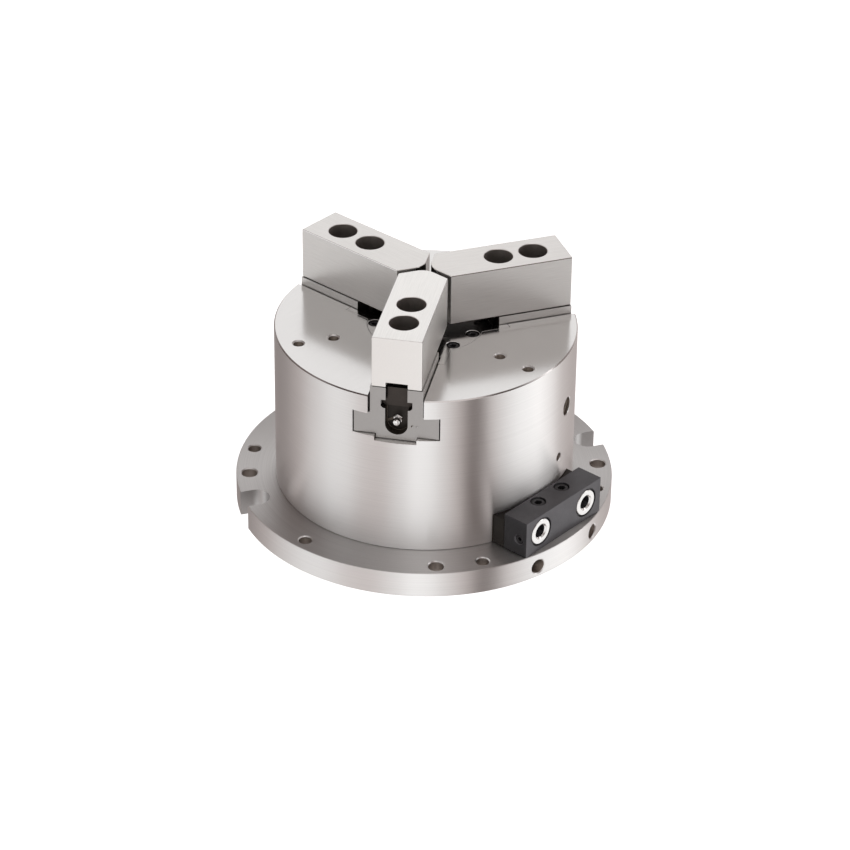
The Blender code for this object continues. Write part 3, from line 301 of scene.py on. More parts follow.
class Look:
    """A material under construction: shader sockets by name, and node shorthand."""

    def __init__(self, name, roughness, metallic):
        self.material = bpy.data.materials.new(name)
        self.material.use_nodes = True
        self.tree = self.material.node_tree
        self.shader = self.tree.nodes["Principled BSDF"]
        self.set("Roughness", roughness)
        self.set("Metallic", metallic)

    def set(self, socket, value):
        self.shader.inputs[socket].default_value = value

    def node(self, kind, **settings):
        made = self.tree.nodes.new(kind)
        for key, value in settings.items():
            setattr(made, key, value)
        return made

    def link(self, source, target):
        self.tree.links.new(source, target)

    def math(self, operation, first, second=None):
        made = self.node("ShaderNodeMath", operation=operation)
        for socket, value in zip(made.inputs, (first, second)):
            if value is None:
                continue
            if isinstance(value, (int, float)):
                socket.default_value = value
            else:
                self.link(value, socket)
        return made.outputs[0]

    def position(self):
        return self.node("ShaderNodeTexCoord").outputs["Object"]

    def noise(self, vector, scale, detail=2.0, roughness=0.5):
        made = self.node("ShaderNodeTexNoise")
        made.inputs["Scale"].default_value = scale
        made.inputs["Detail"].default_value = detail
        made.inputs["Roughness"].default_value = roughness
        self.link(vector, made.inputs["Vector"])
        return made.outputs["Fac"]

    def stretched(self, vector, scale):
        made = self.node("ShaderNodeMapping")
        made.inputs["Scale"].default_value = scale
        self.link(vector, made.inputs["Vector"])
        return made.outputs["Vector"]

    def turned_position(self):
        """(radius, height, a little of the angle), so that a noise over it runs in rings."""
        split = self.node("ShaderNodeSeparateXYZ")
        self.link(self.position(), split.inputs[0])
        x, y, z = split.outputs
        squares = self.math("ADD", self.math("MULTIPLY", x, x), self.math("MULTIPLY", y, y))
        radius = self.math("SQRT", squares)
        angle = self.math("ARCTAN2", y, x)
        joined = self.node("ShaderNodeCombineXYZ")
        self.link(radius, joined.inputs[0])
        self.link(z, joined.inputs[1])
        self.link(self.math("MULTIPLY", self.math("SINE", angle), 0.0006), joined.inputs[2])
        return joined.outputs[0]

    def blend(self, factor, dark, light, low=0.0, high=1.0):
        """A colour between two, by a factor that is first stretched from low-high to 0-1."""
        ramp = self.node("ShaderNodeValToRGB")
        ramp.color_ramp.elements[0].position = low
        ramp.color_ramp.elements[1].position = high
        ramp.color_ramp.elements[0].color = (*dark, 1.0)
        ramp.color_ramp.elements[1].color = (*light, 1.0)
        self.link(factor, ramp.inputs["Fac"])
        return ramp.outputs["Color"]

    def range(self, factor, low, high, start=0.3, end=0.7):
        made = self.node("ShaderNodeMapRange")
        for name, value in (("From Min", start), ("From Max", end), ("To Min", low), ("To Max", high)):
            made.inputs[name].default_value = value
        self.link(factor, made.inputs["Value"])
        return made.outputs["Result"]

    def bump(self, height, distance, strength=1.0):
        made = self.node("ShaderNodeBump")
        made.inputs["Distance"].default_value = distance
        made.inputs["Strength"].default_value = strength
        self.link(height, made.inputs["Height"])
        self.link(made.outputs["Normal"], self.shader.inputs["Normal"])


def shade(colour, amount):
    return tuple(min(1.0, c * amount) for c in colour)


def steel(name, colour, roughness, anisotropy=0.0, axis="Z", turn=0.25, contrast=0.06):
    """Finely machined steel. Its lines run round the piece's Z axis, or along its X axis.

    Anisotropy draws reflections out across the lines.
    """
    look = Look(name, roughness, 1.0)
    if axis == "Z":
        lines = look.noise(look.turned_position(), 2600.0, 3.0, 0.6)
    else:
        lines = look.noise(look.stretched(look.position(), (0.02, 1.0, 1.0)), 3200.0, 3.0, 0.6)
    broad = look.noise(look.position(), 22.0, 2.0)
    look.link(look.blend(lines, shade(colour, 1 - contrast), shade(colour, 1 + contrast), 0.3, 0.7),
              look.shader.inputs["Base Color"])
    look.link(look.range(broad, roughness - 0.02, roughness + 0.02, 0.0, 1.0),
              look.shader.inputs["Roughness"])
    if anisotropy:
        look.set("Anisotropic", anisotropy)
        look.set("Anisotropic Rotation", turn)
        tangent = look.node("ShaderNodeTangent", direction_type="RADIAL", axis=axis)
        look.link(tangent.outputs[0], look.shader.inputs["Tangent"])
    look.bump(lines, 0.00001, 0.2)
    return look.material


def dark_metal(name, colour, roughness, metallic, grain=900.0):
    """Blackened or anodised metal: a fine grain in its colour, roughness and surface."""
    look = Look(name, roughness, metallic)
    fine = look.noise(look.position(), grain, 3.0, 0.6)
    broad = look.noise(look.position(), 60.0, 3.0)
    look.link(look.blend(broad, shade(colour, 0.82), shade(colour, 1.18), 0.3, 0.7),
              look.shader.inputs["Base Color"])
    look.link(look.range(fine, roughness - 0.05, roughness + 0.05), look.shader.inputs["Roughness"])
    look.bump(fine, 0.00002, 0.15)
    return look.material


def plain_surface(name, colour, roughness):
    """Rubber or plastic with a faint mottle."""
    look = Look(name, roughness, 0.0)
    mottle = look.noise(look.position(), 500.0, 3.0)
    look.link(look.blend(mottle, shade(colour, 0.8), shade(colour, 1.25), 0.3, 0.7),
              look.shader.inputs["Base Color"])
    look.bump(mottle, 0.00002, 0.2)
    return look.material


BODY_COLOUR = colour_of("body_steel")
JAW_COLOUR = colour_of("ground_steel")
MASTER_COLOUR = shade(colour_of("master_steel"), 0.84)
BLOCK_COLOUR = colour_of("black_anodised")
# Dark brown: oil-darkened milled steel, with painted shade in holes and slots
OILED_MILLED_SHADE_COLOUR = (0.20, 0.165, 0.14)
# A darker, warmer steel for bored walls: a bored finish, with painted shade in the holes
BORED_SHADE_COLOUR = (0.54, 0.50, 0.47)
# Near black brown: painted shade in the grease groove
GROOVE_SHADE_COLOUR = (0.115, 0.095, 0.078)
# Near black: painted shade in gaps, recesses and undersides
BLACK_SHADE_COLOUR = (0.03, 0.026, 0.023)
# Brighter than the steel: painted light on the channels' ledges
SLOT_FLOOR_LIGHT_COLOUR = (0.9, 0.88, 0.86)

LOOKS = {
    "body_steel": steel("turned_body_steel", BODY_COLOUR, roughness=0.35, anisotropy=0.99, contrast=0.04),
    "ground_steel": steel("ground_jaw_steel", JAW_COLOUR, roughness=0.31, anisotropy=0.8, axis="X", turn=0.0),
    "master_steel": steel("master_jaw_steel", MASTER_COLOUR, roughness=0.34, axis="X", contrast=0.08),
    "bright_fittings": steel("bright_turned_fittings", colour_of("bright_fittings"), roughness=0.2, axis="X"),
    "dark_steel": dark_metal("dark_tempered_steel", colour_of("dark_steel"), roughness=0.42, metallic=0.8),
    "black_oxide": dark_metal("black_oxide_steel", colour_of("black_oxide"), roughness=0.36, metallic=0.6),
    "black_anodised": dark_metal("black_anodised_block", BLOCK_COLOUR, roughness=0.40, metallic=0.45),
    "piston_aluminium": steel("turned_piston_aluminium", colour_of("piston_aluminium"), roughness=0.35,
                              anisotropy=0.8),
    "seal_rubber": plain_surface("nitrile_seal_rubber", colour_of("seal_rubber"), roughness=0.6),
    "wear_ring_plastic": plain_surface("filled_wear_ring_plastic", colour_of("wear_ring_plastic"),
                                       roughness=0.5),
}

# The looks of single faces: ground, bored, oiled milled or eased steel. Most are darker copies of the steel
# as painted shade, near black in gaps, grooves and undersides, and the channels' ledges are brightened as
# painted light
# The body's and cover's top: a ground finish, its colour darkened as painted shade
GROUND_FACE_SHADE = steel("ground_body_face_painted_shade", shade(BODY_COLOUR, 0.88), roughness=0.17, axis="X", contrast=0.03)
EDGE_STEEL = steel("eased_steel_edge", shade(BODY_COLOUR, 0.9), roughness=0.15, axis="X", contrast=0.03)
# The flange's flat faces: a turned finish, its colour darkened as painted shade
TURNED_FACE_SHADE = steel("turned_flange_face_painted_shade", shade(BODY_COLOUR, 0.76), roughness=0.42, anisotropy=0.96)
JAW_END = steel("ground_jaw_end", JAW_COLOUR, roughness=0.31, axis="X", contrast=0.03)
SLOT_FLOOR_LIGHT = steel("milled_slot_floor_painted_light", SLOT_FLOOR_LIGHT_COLOUR, roughness=0.55, axis="X")
# The notch walls: the steel darkened as painted shade
NOTCH_WALL_SHADE = steel("milled_notch_wall_painted_shade", shade(BODY_COLOUR, 0.6), roughness=0.42, axis="X")
BORED_WALL_SHADE = steel("bored_hole_wall_painted_shade", BORED_SHADE_COLOUR, roughness=0.42, axis="X")
# The jaws' sides: a rougher grind, its colour darkened as painted shade
JAW_SIDE_SHADE = steel("ground_jaw_side_painted_shade", shade(JAW_COLOUR, 0.84), roughness=0.42, anisotropy=0.8, axis="X")
OILED_MILLED_SHADE = dark_metal("oiled_milled_steel_painted_shade", OILED_MILLED_SHADE_COLOUR, roughness=0.42, metallic=0.9)
# The block's end: its anodising darkened as painted shade
BLOCK_END_SHADE = dark_metal("anodised_block_end_painted_shade", shade(BLOCK_COLOUR, 0.35), roughness=0.40, metallic=0.45)
BLACK_SHADE = dark_metal("black_painted_shade_steel", BLACK_SHADE_COLOUR, roughness=0.40, metallic=0.8)
GROOVE_WALL_SHADE = dark_metal("groove_wall_painted_shade", GROOVE_SHADE_COLOUR, roughness=0.42, metallic=0.9)


def paint(obj, look, chosen):
    """Gives another look to the faces that a test on their centre and normal chooses."""
    obj.data.materials.append(look)
    number = len(obj.data.materials) - 1
    for face in obj.data.polygons:
        if chosen(face.center, face.normal):
            face.material_index = number


def near_any(point, spots, distance):
    """Whether a point lies this near to any of the spots, seen from above."""
    return min((point.xy - spot).length for spot in spots) < distance


def finish(obj, slot_name, body, *nodes, rounds=()):
    """Gives a piece its look and its body, and hides the CAD nodes that it stands for."""
    obj.data.materials.clear()
    obj.data.materials.append(LOOKS[slot_name])
    smooth(obj, rounds=rounds)
    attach(obj, body)
    if nodes:
        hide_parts(*nodes)
    return obj


def dress_cad_nodes():
    """The inner pieces keep their CAD shapes and get a finished material."""
    for subpart in frame["record"]["subparts"]:
        obj = frame["nodes"][subpart["node"]]
        obj.data.materials.clear()
        obj.data.materials.append(LOOKS[subpart["material_slot"]])
        obj.data.shade_smooth()
        obj.data.set_sharp_from_angle(angle=math.radians(35))


# Base flange

FLANGE_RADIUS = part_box("base_flange")[1].x
FLANGE_TOP = 19.0 * MM
SPIGOT_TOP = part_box("base_flange")[1].z
BODY_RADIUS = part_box("body_housing")[1].x
BODY_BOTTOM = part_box("body_housing")[0].z
BODY_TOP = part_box("body_housing")[1].z
SPIGOT_RADIUS = 84.7 * MM
SEAL_GROOVE_DEPTH = 3.3 * MM
EDGE = 0.8 * MM  # rounding of the turned outer edges
LARGE_HOLE_RADIUS = 5.5 * MM
SMALL_HOLE_RADIUS = 4.5 * MM
HOLE_EASE = 0.7 * MM
NOTCH_HALF_WIDTH = 9.5 * MM
NOTCH_INNER_RADIUS = 114.5 * MM
NOTCH_ANGLES = (150, 330)
RIM_PORT_ANGLES = (257.25, 282.75)
RIM_PORT_RADIUS = 5.25 * MM
RIM_PORT_HEIGHT = 8.5 * MM
RIM_PORT_DEPTH = 20.8 * MM
RIM_PLUG_LENGTH = 8 * MM


def rounded_corner(radius, level, size, upper=True):
    """A rounded outer corner of a turned profile, which runs downwards."""
    if upper:
        return arc((radius - size, level - size), size, 90, 0, 3)
    return arc((radius - size, level + size), size, 0, -90, 3)


def notch_cutter(number, angle):
    far = FLANGE_RADIUS + CLEAR
    centre = (NOTCH_INNER_RADIUS + NOTCH_HALF_WIDTH, 0.0)
    outline = [(far, NOTCH_HALF_WIDTH)] + arc(centre, NOTCH_HALF_WIDTH, 90, 270, 24)
    outline.append((far, -NOTCH_HALF_WIDTH))
    return prism(f"notch_{number}", outline, -CLEAR, FLANGE_TOP + CLEAR, place=around(angle))


def in_notch(point):
    if point.xy.length < NOTCH_INNER_RADIUS - 1 * MM:
        return False
    spots = [around(angle).inverted() @ point for angle in NOTCH_ANGLES]
    return any(spot.x > 0 and abs(spot.y) < NOTCH_HALF_WIDTH + 0.2 * MM for spot in spots)


def make_flange():
    profile = [(0.0, SPIGOT_TOP), (SPIGOT_RADIUS - EDGE, SPIGOT_TOP), (SPIGOT_RADIUS, SPIGOT_TOP - EDGE)]
    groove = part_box("flange_o_ring")
    inner = SPIGOT_RADIUS - SEAL_GROOVE_DEPTH
    profile += [(SPIGOT_RADIUS, groove[1].z), (inner, groove[1].z), (inner, groove[0].z)]
    profile += [(SPIGOT_RADIUS, groove[0].z), (SPIGOT_RADIUS, FLANGE_TOP)]
    profile += rounded_corner(FLANGE_RADIUS, FLANGE_TOP, EDGE)
    profile += rounded_corner(FLANGE_RADIUS, 0.0, EDGE, upper=False)
    profile.append((0.0, 0.0))
    flange = turned("base_flange_turned", profile, ROUND)
    for number, angle in enumerate(NOTCH_ANGLES, 1):
        cut(flange, notch_cutter(number, angle))
    ease_edges(flange, 0.4 * MM, angle=50)
    for name, (low, high) in OPENINGS.items():
        if "flange_hole" in name:
            radius = LARGE_HOLE_RADIUS if name.startswith("large") else SMALL_HOLE_RADIUS
            place = upright((low.x + high.x) / 2, (low.y + high.y) / 2, FLANGE_TOP)
            cut(flange, through_hole(name, radius, FLANGE_TOP, HOLE_EASE, place))
    for angle in RIM_PORT_ANGLES:
        place = pointing_out(angle, FLANGE_RADIUS, RIM_PORT_HEIGHT)
        cut(flange, countersunk("rim_port", RIM_PORT_RADIUS, RIM_PORT_DEPTH, HOLE_EASE, place,
                                thread=1.0 * MM))
    for number in range(1, 7):
        centre = middle(f"body_screw_{number}")
        cut(flange, counterbore("screw_hole", wide=7.0 * MM, narrow=4.3 * MM, shoulder=9.3 * MM,
                                depth=SPIGOT_TOP + CLEAR, ease=0.4 * MM,
                                place=hanging(centre.x, centre.y)))
    finish(flange, "body_steel", "housing", "base_flange", rounds=(FLANGE_RADIUS,))
    # The flange's flat faces get a darker copy of the steel: a turned finish, with painted shade
    paint(flange, TURNED_FACE_SHADE, lambda c, n: abs(n.z) > 0.9)
    rim = FLANGE_RADIUS - 1.2 * MM
    holes = [(low + high).xy / 2 for name, (low, high) in OPENINGS.items() if "flange_hole" in name]

    def in_plate(point):
        return 1.0 * MM < point.z < FLANGE_TOP - 1.0 * MM

    # Walls inside the plate are painted dark brown: oil-darkened milled steel, with painted shade in the
    # holes and notches
    paint(flange, OILED_MILLED_SHADE, lambda c, n: in_plate(c) and c.xy.length < rim)
    # The large holes' walls get a darker, warmer steel: a bored finish, with painted shade
    paint(flange, BORED_WALL_SHADE, lambda c, n: in_plate(c) and near_any(c, holes, LARGE_HOLE_RADIUS + 0.1 * MM))
    # The notch walls get a darker copy of the steel: painted shade
    paint(flange, NOTCH_WALL_SHADE, lambda c, n: abs(n.z) < 0.5 and in_notch(c))


# Body

CHANNEL_REACH = BODY_RADIUS + CLEAR
NECK_HALF_WIDTH = 18.2 * MM
FOOT_HALF_WIDTH = 29.2 * MM
TONGUE_HALF_WIDTH = 14.2 * MM
FOOT_TOP = BODY_TOP - 14.2 * MM
FOOT_BOTTOM = BODY_TOP - 30.3 * MM
TONGUE_BOTTOM = BODY_TOP - 33.5 * MM
NECK_GAP = 1.0 * MM
FOOT_GAP = 0.8 * MM
LEDGE_GAP = 0.6 * MM
SLIDE_GAP = 0.3 * MM
BORE_RADIUS = 85.0 * MM
BORE_TOP = 69.0 * MM
PLUNGER_BORE_RADIUS = 30.3 * MM
TAPPED_CIRCLES = (67.0 * MM, 92.0 * MM)
TAPPED_RADIUS = 3.6 * MM
TAPPED_DEPTH = 17 * MM
FLAT_DISTANCE = 97.0 * MM
FLAT_TOP = 41.8 * MM
FLAT_HALF_WIDTH = 43 * MM
SIDE_PLUG_ANGLE = 289.5
LUBE_HOLE_ANGLE = 283.0
LUBE_HOLE_HEIGHT = 60.7 * MM
COVER_RADIUS = 40.6 * MM
COVER_LUG_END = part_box("centre_cover")[1].y
COVER_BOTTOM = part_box("centre_cover")[0].z
LUG_HALF_WIDTH = 23.3 * MM


def on_each_jaw(outline):
    """An outline's points repeated for the three jaws, from points drawn for a jaw along +X."""
    points = []
    for angle in JAW_ANGLES.values():
        cos, sin = math.cos(math.radians(angle)), math.sin(math.radians(angle))
        points += [(x * cos - y * sin, x * sin + y * cos) for x, y in outline]
    return points


def star(half_width):
    """Three straight channels that cross on the axis."""
    corner = half_width / math.tan(math.radians(60))
    return on_each_jaw([(CHANNEL_REACH, -half_width), (CHANNEL_REACH, half_width), (corner, half_width)])


def cover_outline(radius, half_width, end, slot=()):
    """A disc with a square lug under each jaw. slot holds the points of a gap in the lug's end."""
    root = math.sqrt(radius**2 - half_width**2)
    lug = [(root, -half_width), (end, -half_width), *slot, (end, half_width)]
    edge = math.degrees(math.asin(half_width / radius))
    return on_each_jaw(lug + arc((0.0, 0.0), radius, edge, 120 - edge, 32)[:-1])


def make_body():
    profile = [(0.0, BODY_TOP), (BODY_RADIUS - EDGE, BODY_TOP), (BODY_RADIUS, BODY_TOP - EDGE)]
    profile += [(BODY_RADIUS, BODY_BOTTOM + EDGE / 2), (BODY_RADIUS - EDGE / 2, BODY_BOTTOM)]
    profile.append((0.0, BODY_BOTTOM))
    body = turned("body_housing_turned", profile, ROUND)
    foot_middle = (FOOT_TOP + FOOT_BOTTOM) / 2
    layers = (
        (NECK_HALF_WIDTH + NECK_GAP, foot_middle, BODY_TOP + CLEAR),
        (FOOT_HALF_WIDTH + FOOT_GAP, FOOT_BOTTOM - LEDGE_GAP, FOOT_TOP + SLIDE_GAP),
        (TONGUE_HALF_WIDTH + SLIDE_GAP, TONGUE_BOTTOM - LEDGE_GAP, foot_middle),
    )
    for half_width, low, high in layers:
        cut(body, prism("channels", star(half_width), low, high))
    near = (-FLAT_HALF_WIDTH, -BODY_RADIUS - CLEAR, BODY_BOTTOM - CLEAR)
    cut(body, box_between("flat", near, (FLAT_HALF_WIDTH, -FLAT_DISTANCE, FLAT_TOP)))
    ease_edges(body, 0.3 * MM, angle=40)
    outline = cover_outline(COVER_RADIUS + SLIDE_GAP, LUG_HALF_WIDTH + SLIDE_GAP, COVER_LUG_END + SLIDE_GAP)
    cut(body, prism("recess", outline, COVER_BOTTOM - SLIDE_GAP, BODY_TOP + CLEAR))
    bore = [(0.0, BODY_TOP + CLEAR), (PLUNGER_BORE_RADIUS, BODY_TOP + CLEAR), (PLUNGER_BORE_RADIUS, BORE_TOP)]
    bore += [(BORE_RADIUS, BORE_TOP), (BORE_RADIUS, BODY_BOTTOM - CLEAR), (0.0, BODY_BOTTOM - CLEAR)]
    cut(body, turned("bore", bore, 128))
    for sector in SECTOR_ANGLES:
        for distance in TAPPED_CIRCLES:
            place = around(sector, distance, BODY_TOP)
            cut(body, countersunk("tapped", TAPPED_RADIUS, TAPPED_DEPTH, 0.9 * MM, place,
                                  thread=1.25 * MM))
    place = pointing_out(SIDE_PLUG_ANGLE, BODY_RADIUS, middle("side_plug").z)
    cut(body, countersunk("plug_hole", radius=6.6 * MM, depth=8.8 * MM, ease=0.5 * MM, place=place,
                          thread=1.0 * MM))
    place = pointing_out(LUBE_HOLE_ANGLE, BODY_RADIUS, LUBE_HOLE_HEIGHT)
    cut(body, countersunk("lube_hole", radius=3.0 * MM, depth=8 * MM, ease=0.5 * MM, place=place,
                          thread=0.8 * MM))
    finish(body, "body_steel", "housing", "body_housing", rounds=(BODY_RADIUS,))
    inside = BODY_RADIUS - 0.6 * MM
    taps = [around(sector, distance).translation.xy
            for sector in SECTOR_ANGLES for distance in TAPPED_CIRCLES]
    # The body's top face gets a darker copy of the steel: a ground finish, with painted shade
    paint(body, GROUND_FACE_SHADE, lambda c, n: n.z > 0.9 and c.z > BODY_TOP - 0.1 * MM)
    paint(body, EDGE_STEEL, lambda c, n: 0.3 < n.z < 0.95 and c.z > BODY_TOP - 1 * MM
          and c.xy.length > inside - 0.4 * MM)
    # Faces low in the channels and the bore are painted dark brown: oil-darkened milled steel, with painted
    # shade
    paint(body, OILED_MILLED_SHADE, lambda c, n: c.z < FOOT_TOP + 1.0 * MM and c.xy.length < inside)
    # Faces in the recess round the cover are painted near black: painted shade
    paint(body, BLACK_SHADE, lambda c, n: c.z < BODY_TOP - 1.2 * MM and c.xy.length < COVER_LUG_END)
    # The tapped holes' walls are painted dark brown: painted shade in the holes, with oil
    paint(body, OILED_MILLED_SHADE, lambda c, n: c.z < BODY_TOP - 1.0 * MM
          and near_any(c, taps, TAPPED_RADIUS + 0.6 * MM))
    # The channels' ledges are painted brighter than the steel: painted light
    paint(body, SLOT_FLOOR_LIGHT, lambda c, n: n.z > 0.9 and TONGUE_BOTTOM - 2 * MM < c.z < FOOT_TOP)


# Cover


def make_cover():
    half, start = 18.8 * MM, 43.4 * MM
    slot = [(COVER_LUG_END, -half), (start, -half), (start, half), (COVER_LUG_END, half)]
    outline = cover_outline(COVER_RADIUS, LUG_HALF_WIDTH, COVER_LUG_END, slot)
    cover = prism("centre_cover_plate", outline, COVER_BOTTOM, BODY_TOP)
    ease_edges(cover, 0.3 * MM, angle=40)
    for number in range(1, 7):
        centre = middle(f"cover_screw_{number}")
        cut(cover, counterbore("hole", wide=4.7 * MM, narrow=2.7 * MM,
                               shoulder=BODY_TOP - COVER_BOTTOM - 1.6 * MM, depth=9 * MM, ease=0.25 * MM,
                               place=upright(centre.x, centre.y, BODY_TOP), steps=HOLE))
    finish(cover, "body_steel", "housing", "centre_cover")
    # The cover's top face gets a darker copy of the steel: a ground finish, with painted shade
    paint(cover, GROUND_FACE_SHADE, lambda c, n: n.z > 0.9 and c.z > BODY_TOP - 0.1 * MM)
    # The cover's sides, underside and screw holes are painted near black: painted shade in the gaps round it
    paint(cover, BLACK_SHADE, lambda c, n: c.z < BODY_TOP - 1.0 * MM)


# Screws and plugs


def cap_screw(node, body, head_radius, head_height, shank_radius, socket_radius, hangs=False):
    """A socket head cap screw in its node's box, with its head at the top, or at the bottom if it hangs."""
    low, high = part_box(node)
    centre = (low + high) / 2
    length = high.z - low.z
    place = hanging(centre.x, centre.y, low.z) if hangs else upright(centre.x, centre.y, high.z)
    ease = 0.08 * head_radius
    knurl = 0.035 * head_radius
    profile = [(0.0, 0.0), (head_radius - 2.2 * ease, 0.0), (head_radius - ease, -0.4 * ease)]
    knurls = [0.0, 0.0, 0.0]
    profile += [(head_radius, -1.6 * ease), (head_radius, -0.86 * head_height)]
    profile += [(head_radius - ease, -head_height)]
    knurls += [knurl, knurl, 0.0]
    profile += [(shank_radius, -head_height), (shank_radius, -length + ease)]
    profile += [(shank_radius - ease, -length), (0.0, -length)]
    knurls += [0.0] * 4
    screw = turned(f"{node}_cap", profile, 72, place, knurls=knurls)
    depth = 0.55 * head_height
    hexagon = [(0.0, CLEAR), (socket_radius + 0.25 * MM + CLEAR, CLEAR), (socket_radius + 0.25 * MM, 0.0)]
    hexagon += [(socket_radius, -0.3 * MM), (socket_radius, -depth), (0.0, -depth - 0.4 * socket_radius)]
    cut(screw, turned("socket", hexagon, 6, place))
    finish(screw, "black_oxide", body, node)


def make_screws():
    for number in range(1, 7):
        cap_screw(f"cover_screw_{number}", "housing", head_radius=4.2 * MM, head_height=3.6 * MM,
                  shank_radius=2.2 * MM, socket_radius=2.3 * MM)
        cap_screw(f"body_screw_{number}", "housing", head_radius=6.5 * MM, head_height=8.0 * MM,
                  shank_radius=3.7 * MM, socket_radius=3.4 * MM, hangs=True)
    for number in (1, 2):
        cap_screw(f"manifold_screw_{number}", "housing", head_radius=5.0 * MM, head_height=6.0 * MM,
                  shank_radius=3.0 * MM, socket_radius=2.8 * MM)
    for jaw in JAW_ANGLES:
        for row in (1, 2):
            cap_screw(f"jaw_{jaw}_screw_{row}", f"jaw_{jaw}", head_radius=9.0 * MM, head_height=12.0 * MM,
                      shank_radius=5.7 * MM, socket_radius=5.7 * MM)


def make_plug(node, place, slot_name, radius, length, socket_radius):
    """A headless plug with a hexagon socket. Its frame's origin is the middle of its outer face."""
    ease = 0.5 * MM
    profile = [(0.0, 0.0), (radius - ease, 0.0), (radius, -ease), (radius, -length + ease)]
    profile += [(radius - ease, -length), (0.0, -length)]
    plug = turned(f"{node}_turned", profile, HOLE, place)
    depth = 0.5 * length
    socket = [(0.0, CLEAR), (socket_radius + 0.3 * MM + CLEAR, CLEAR), (socket_radius + 0.3 * MM, 0.0)]
    socket += [(socket_radius, -0.35 * MM), (socket_radius, -depth), (0.0, -depth - 0.5 * MM)]
    cut(plug, turned("socket", socket, 6, place))
    return finish(plug, slot_name, "housing", node)


# Jaws, drawn along +X and turned to their angles. Jaw 1 points along +Y, so the lengths along a jaw are
# the Y of jaw 1's boxes, and the widths are their X.

TOP_JAW_LOW, TOP_JAW_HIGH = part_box("top_jaw_1")
MASTER_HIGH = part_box("master_jaw_1")[1]
NUT_LOW, NUT_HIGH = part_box("t_nut_1")
JAW_BOLTS = [middle(f"jaw_1_screw_{row}").y for row in (1, 2)]
NOSE_CORNER = 12.0 * MM
NOSE_RADIUS = 11.8 * MM
KEYWAY_START = 36.0 * MM
KEYWAY_TOP = BODY_TOP + 9.7 * MM
COUNTERBORE_RADIUS = 10.0 * MM
COUNTERBORE_DEPTH = 24.5 * MM
MASTER_INNER_END = 31.0 * MM
MASTER_NECK_START = 47.0 * MM
NUT_SLOT_START = 43.6 * MM
NUT_CORNER = 1.6 * MM
JAW_STROKE = 7.4 * MM
PISTON_STROKE = 16.0 * MM
KEY_HALF_WIDTH = 7.4 * MM
NUT_SLOT_HALF_WIDTH = 10.8 * MM
NUT_SLOT_TOP = BODY_TOP - 3.8 * MM
NUT_SLOT_BOTTOM = BODY_TOP - 10.0 * MM
NIPPLE_HEIGHT = middle("grease_nipple_1").z
GROOVE_START = 94.0 * MM
GROOVE_HALF_WIDTH = 7.7 * MM
GROOVE_BOTTOM = BODY_TOP - 29.7 * MM


def make_top_jaw(number, angle):
    half = TOP_JAW_HIGH.x
    end = TOP_JAW_HIGH.y
    slope = math.radians(30)
    apex = NOSE_CORNER - half * math.tan(slope)
    centre = (apex + NOSE_RADIUS / math.cos(slope), 0.0)
    outline = [(end, -half), (end, half), (NOSE_CORNER, half)]
    outline += arc(centre, NOSE_RADIUS, 150, 210, 20) + [(NOSE_CORNER, -half)]
    place = around(angle)
    jaw = prism(f"top_jaw_{number}_ground", outline, TOP_JAW_LOW.z, TOP_JAW_HIGH.z, place=place)
    near = (KEYWAY_START, -KEY_HALF_WIDTH, TOP_JAW_LOW.z - CLEAR)
    cut(jaw, box_between("keyway", near, (end + CLEAR, KEY_HALF_WIDTH, KEYWAY_TOP), place))
    ease_edges(jaw, 0.6 * MM, angle=20)
    for bolt in JAW_BOLTS:
        depth = TOP_JAW_HIGH.z - TOP_JAW_LOW.z + CLEAR
        spot = place @ upright(bolt, 0.0, TOP_JAW_HIGH.z)
        cut(jaw, counterbore("bolt_hole", COUNTERBORE_RADIUS, narrow=6.6 * MM, shoulder=COUNTERBORE_DEPTH,
                             depth=depth, ease=0.3 * MM, place=spot))
    finish(jaw, "ground_steel", f"jaw_{number}", f"top_jaw_{number}")
    paint(jaw, JAW_END, lambda c, n: abs(n.x) > 0.4 and c.z > TOP_JAW_LOW.z)
    # The jaw's sides get a darker copy of its steel: painted shade
    paint(jaw, JAW_SIDE_SHADE, lambda c, n: abs(n.y) > 0.95)
    paint(jaw, EDGE_STEEL, lambda c, n: 0.2 < n.z < 0.95 and c.z > TOP_JAW_HIGH.z - 0.7 * MM
          and abs(n.y) > 0.3 and abs(c.y) > TOP_JAW_HIGH.x - 0.8 * MM)
    bolts = [Vector((bolt, 0.0)) for bolt in JAW_BOLTS]
    # The counterbores' walls get a darker, warmer steel: a bored finish, with painted shade
    paint(jaw, BORED_WALL_SHADE, lambda c, n: c.z < TOP_JAW_HIGH.z - 0.5 * MM
          and near_any(c, bolts, COUNTERBORE_RADIUS + 0.05 * MM))
    # The jaw's underside and inner end are painted near black: painted shade
    paint(jaw, BLACK_SHADE, lambda c, n: n.z < -0.9 or (n.x < -0.9 and c.x < NOSE_CORNER))


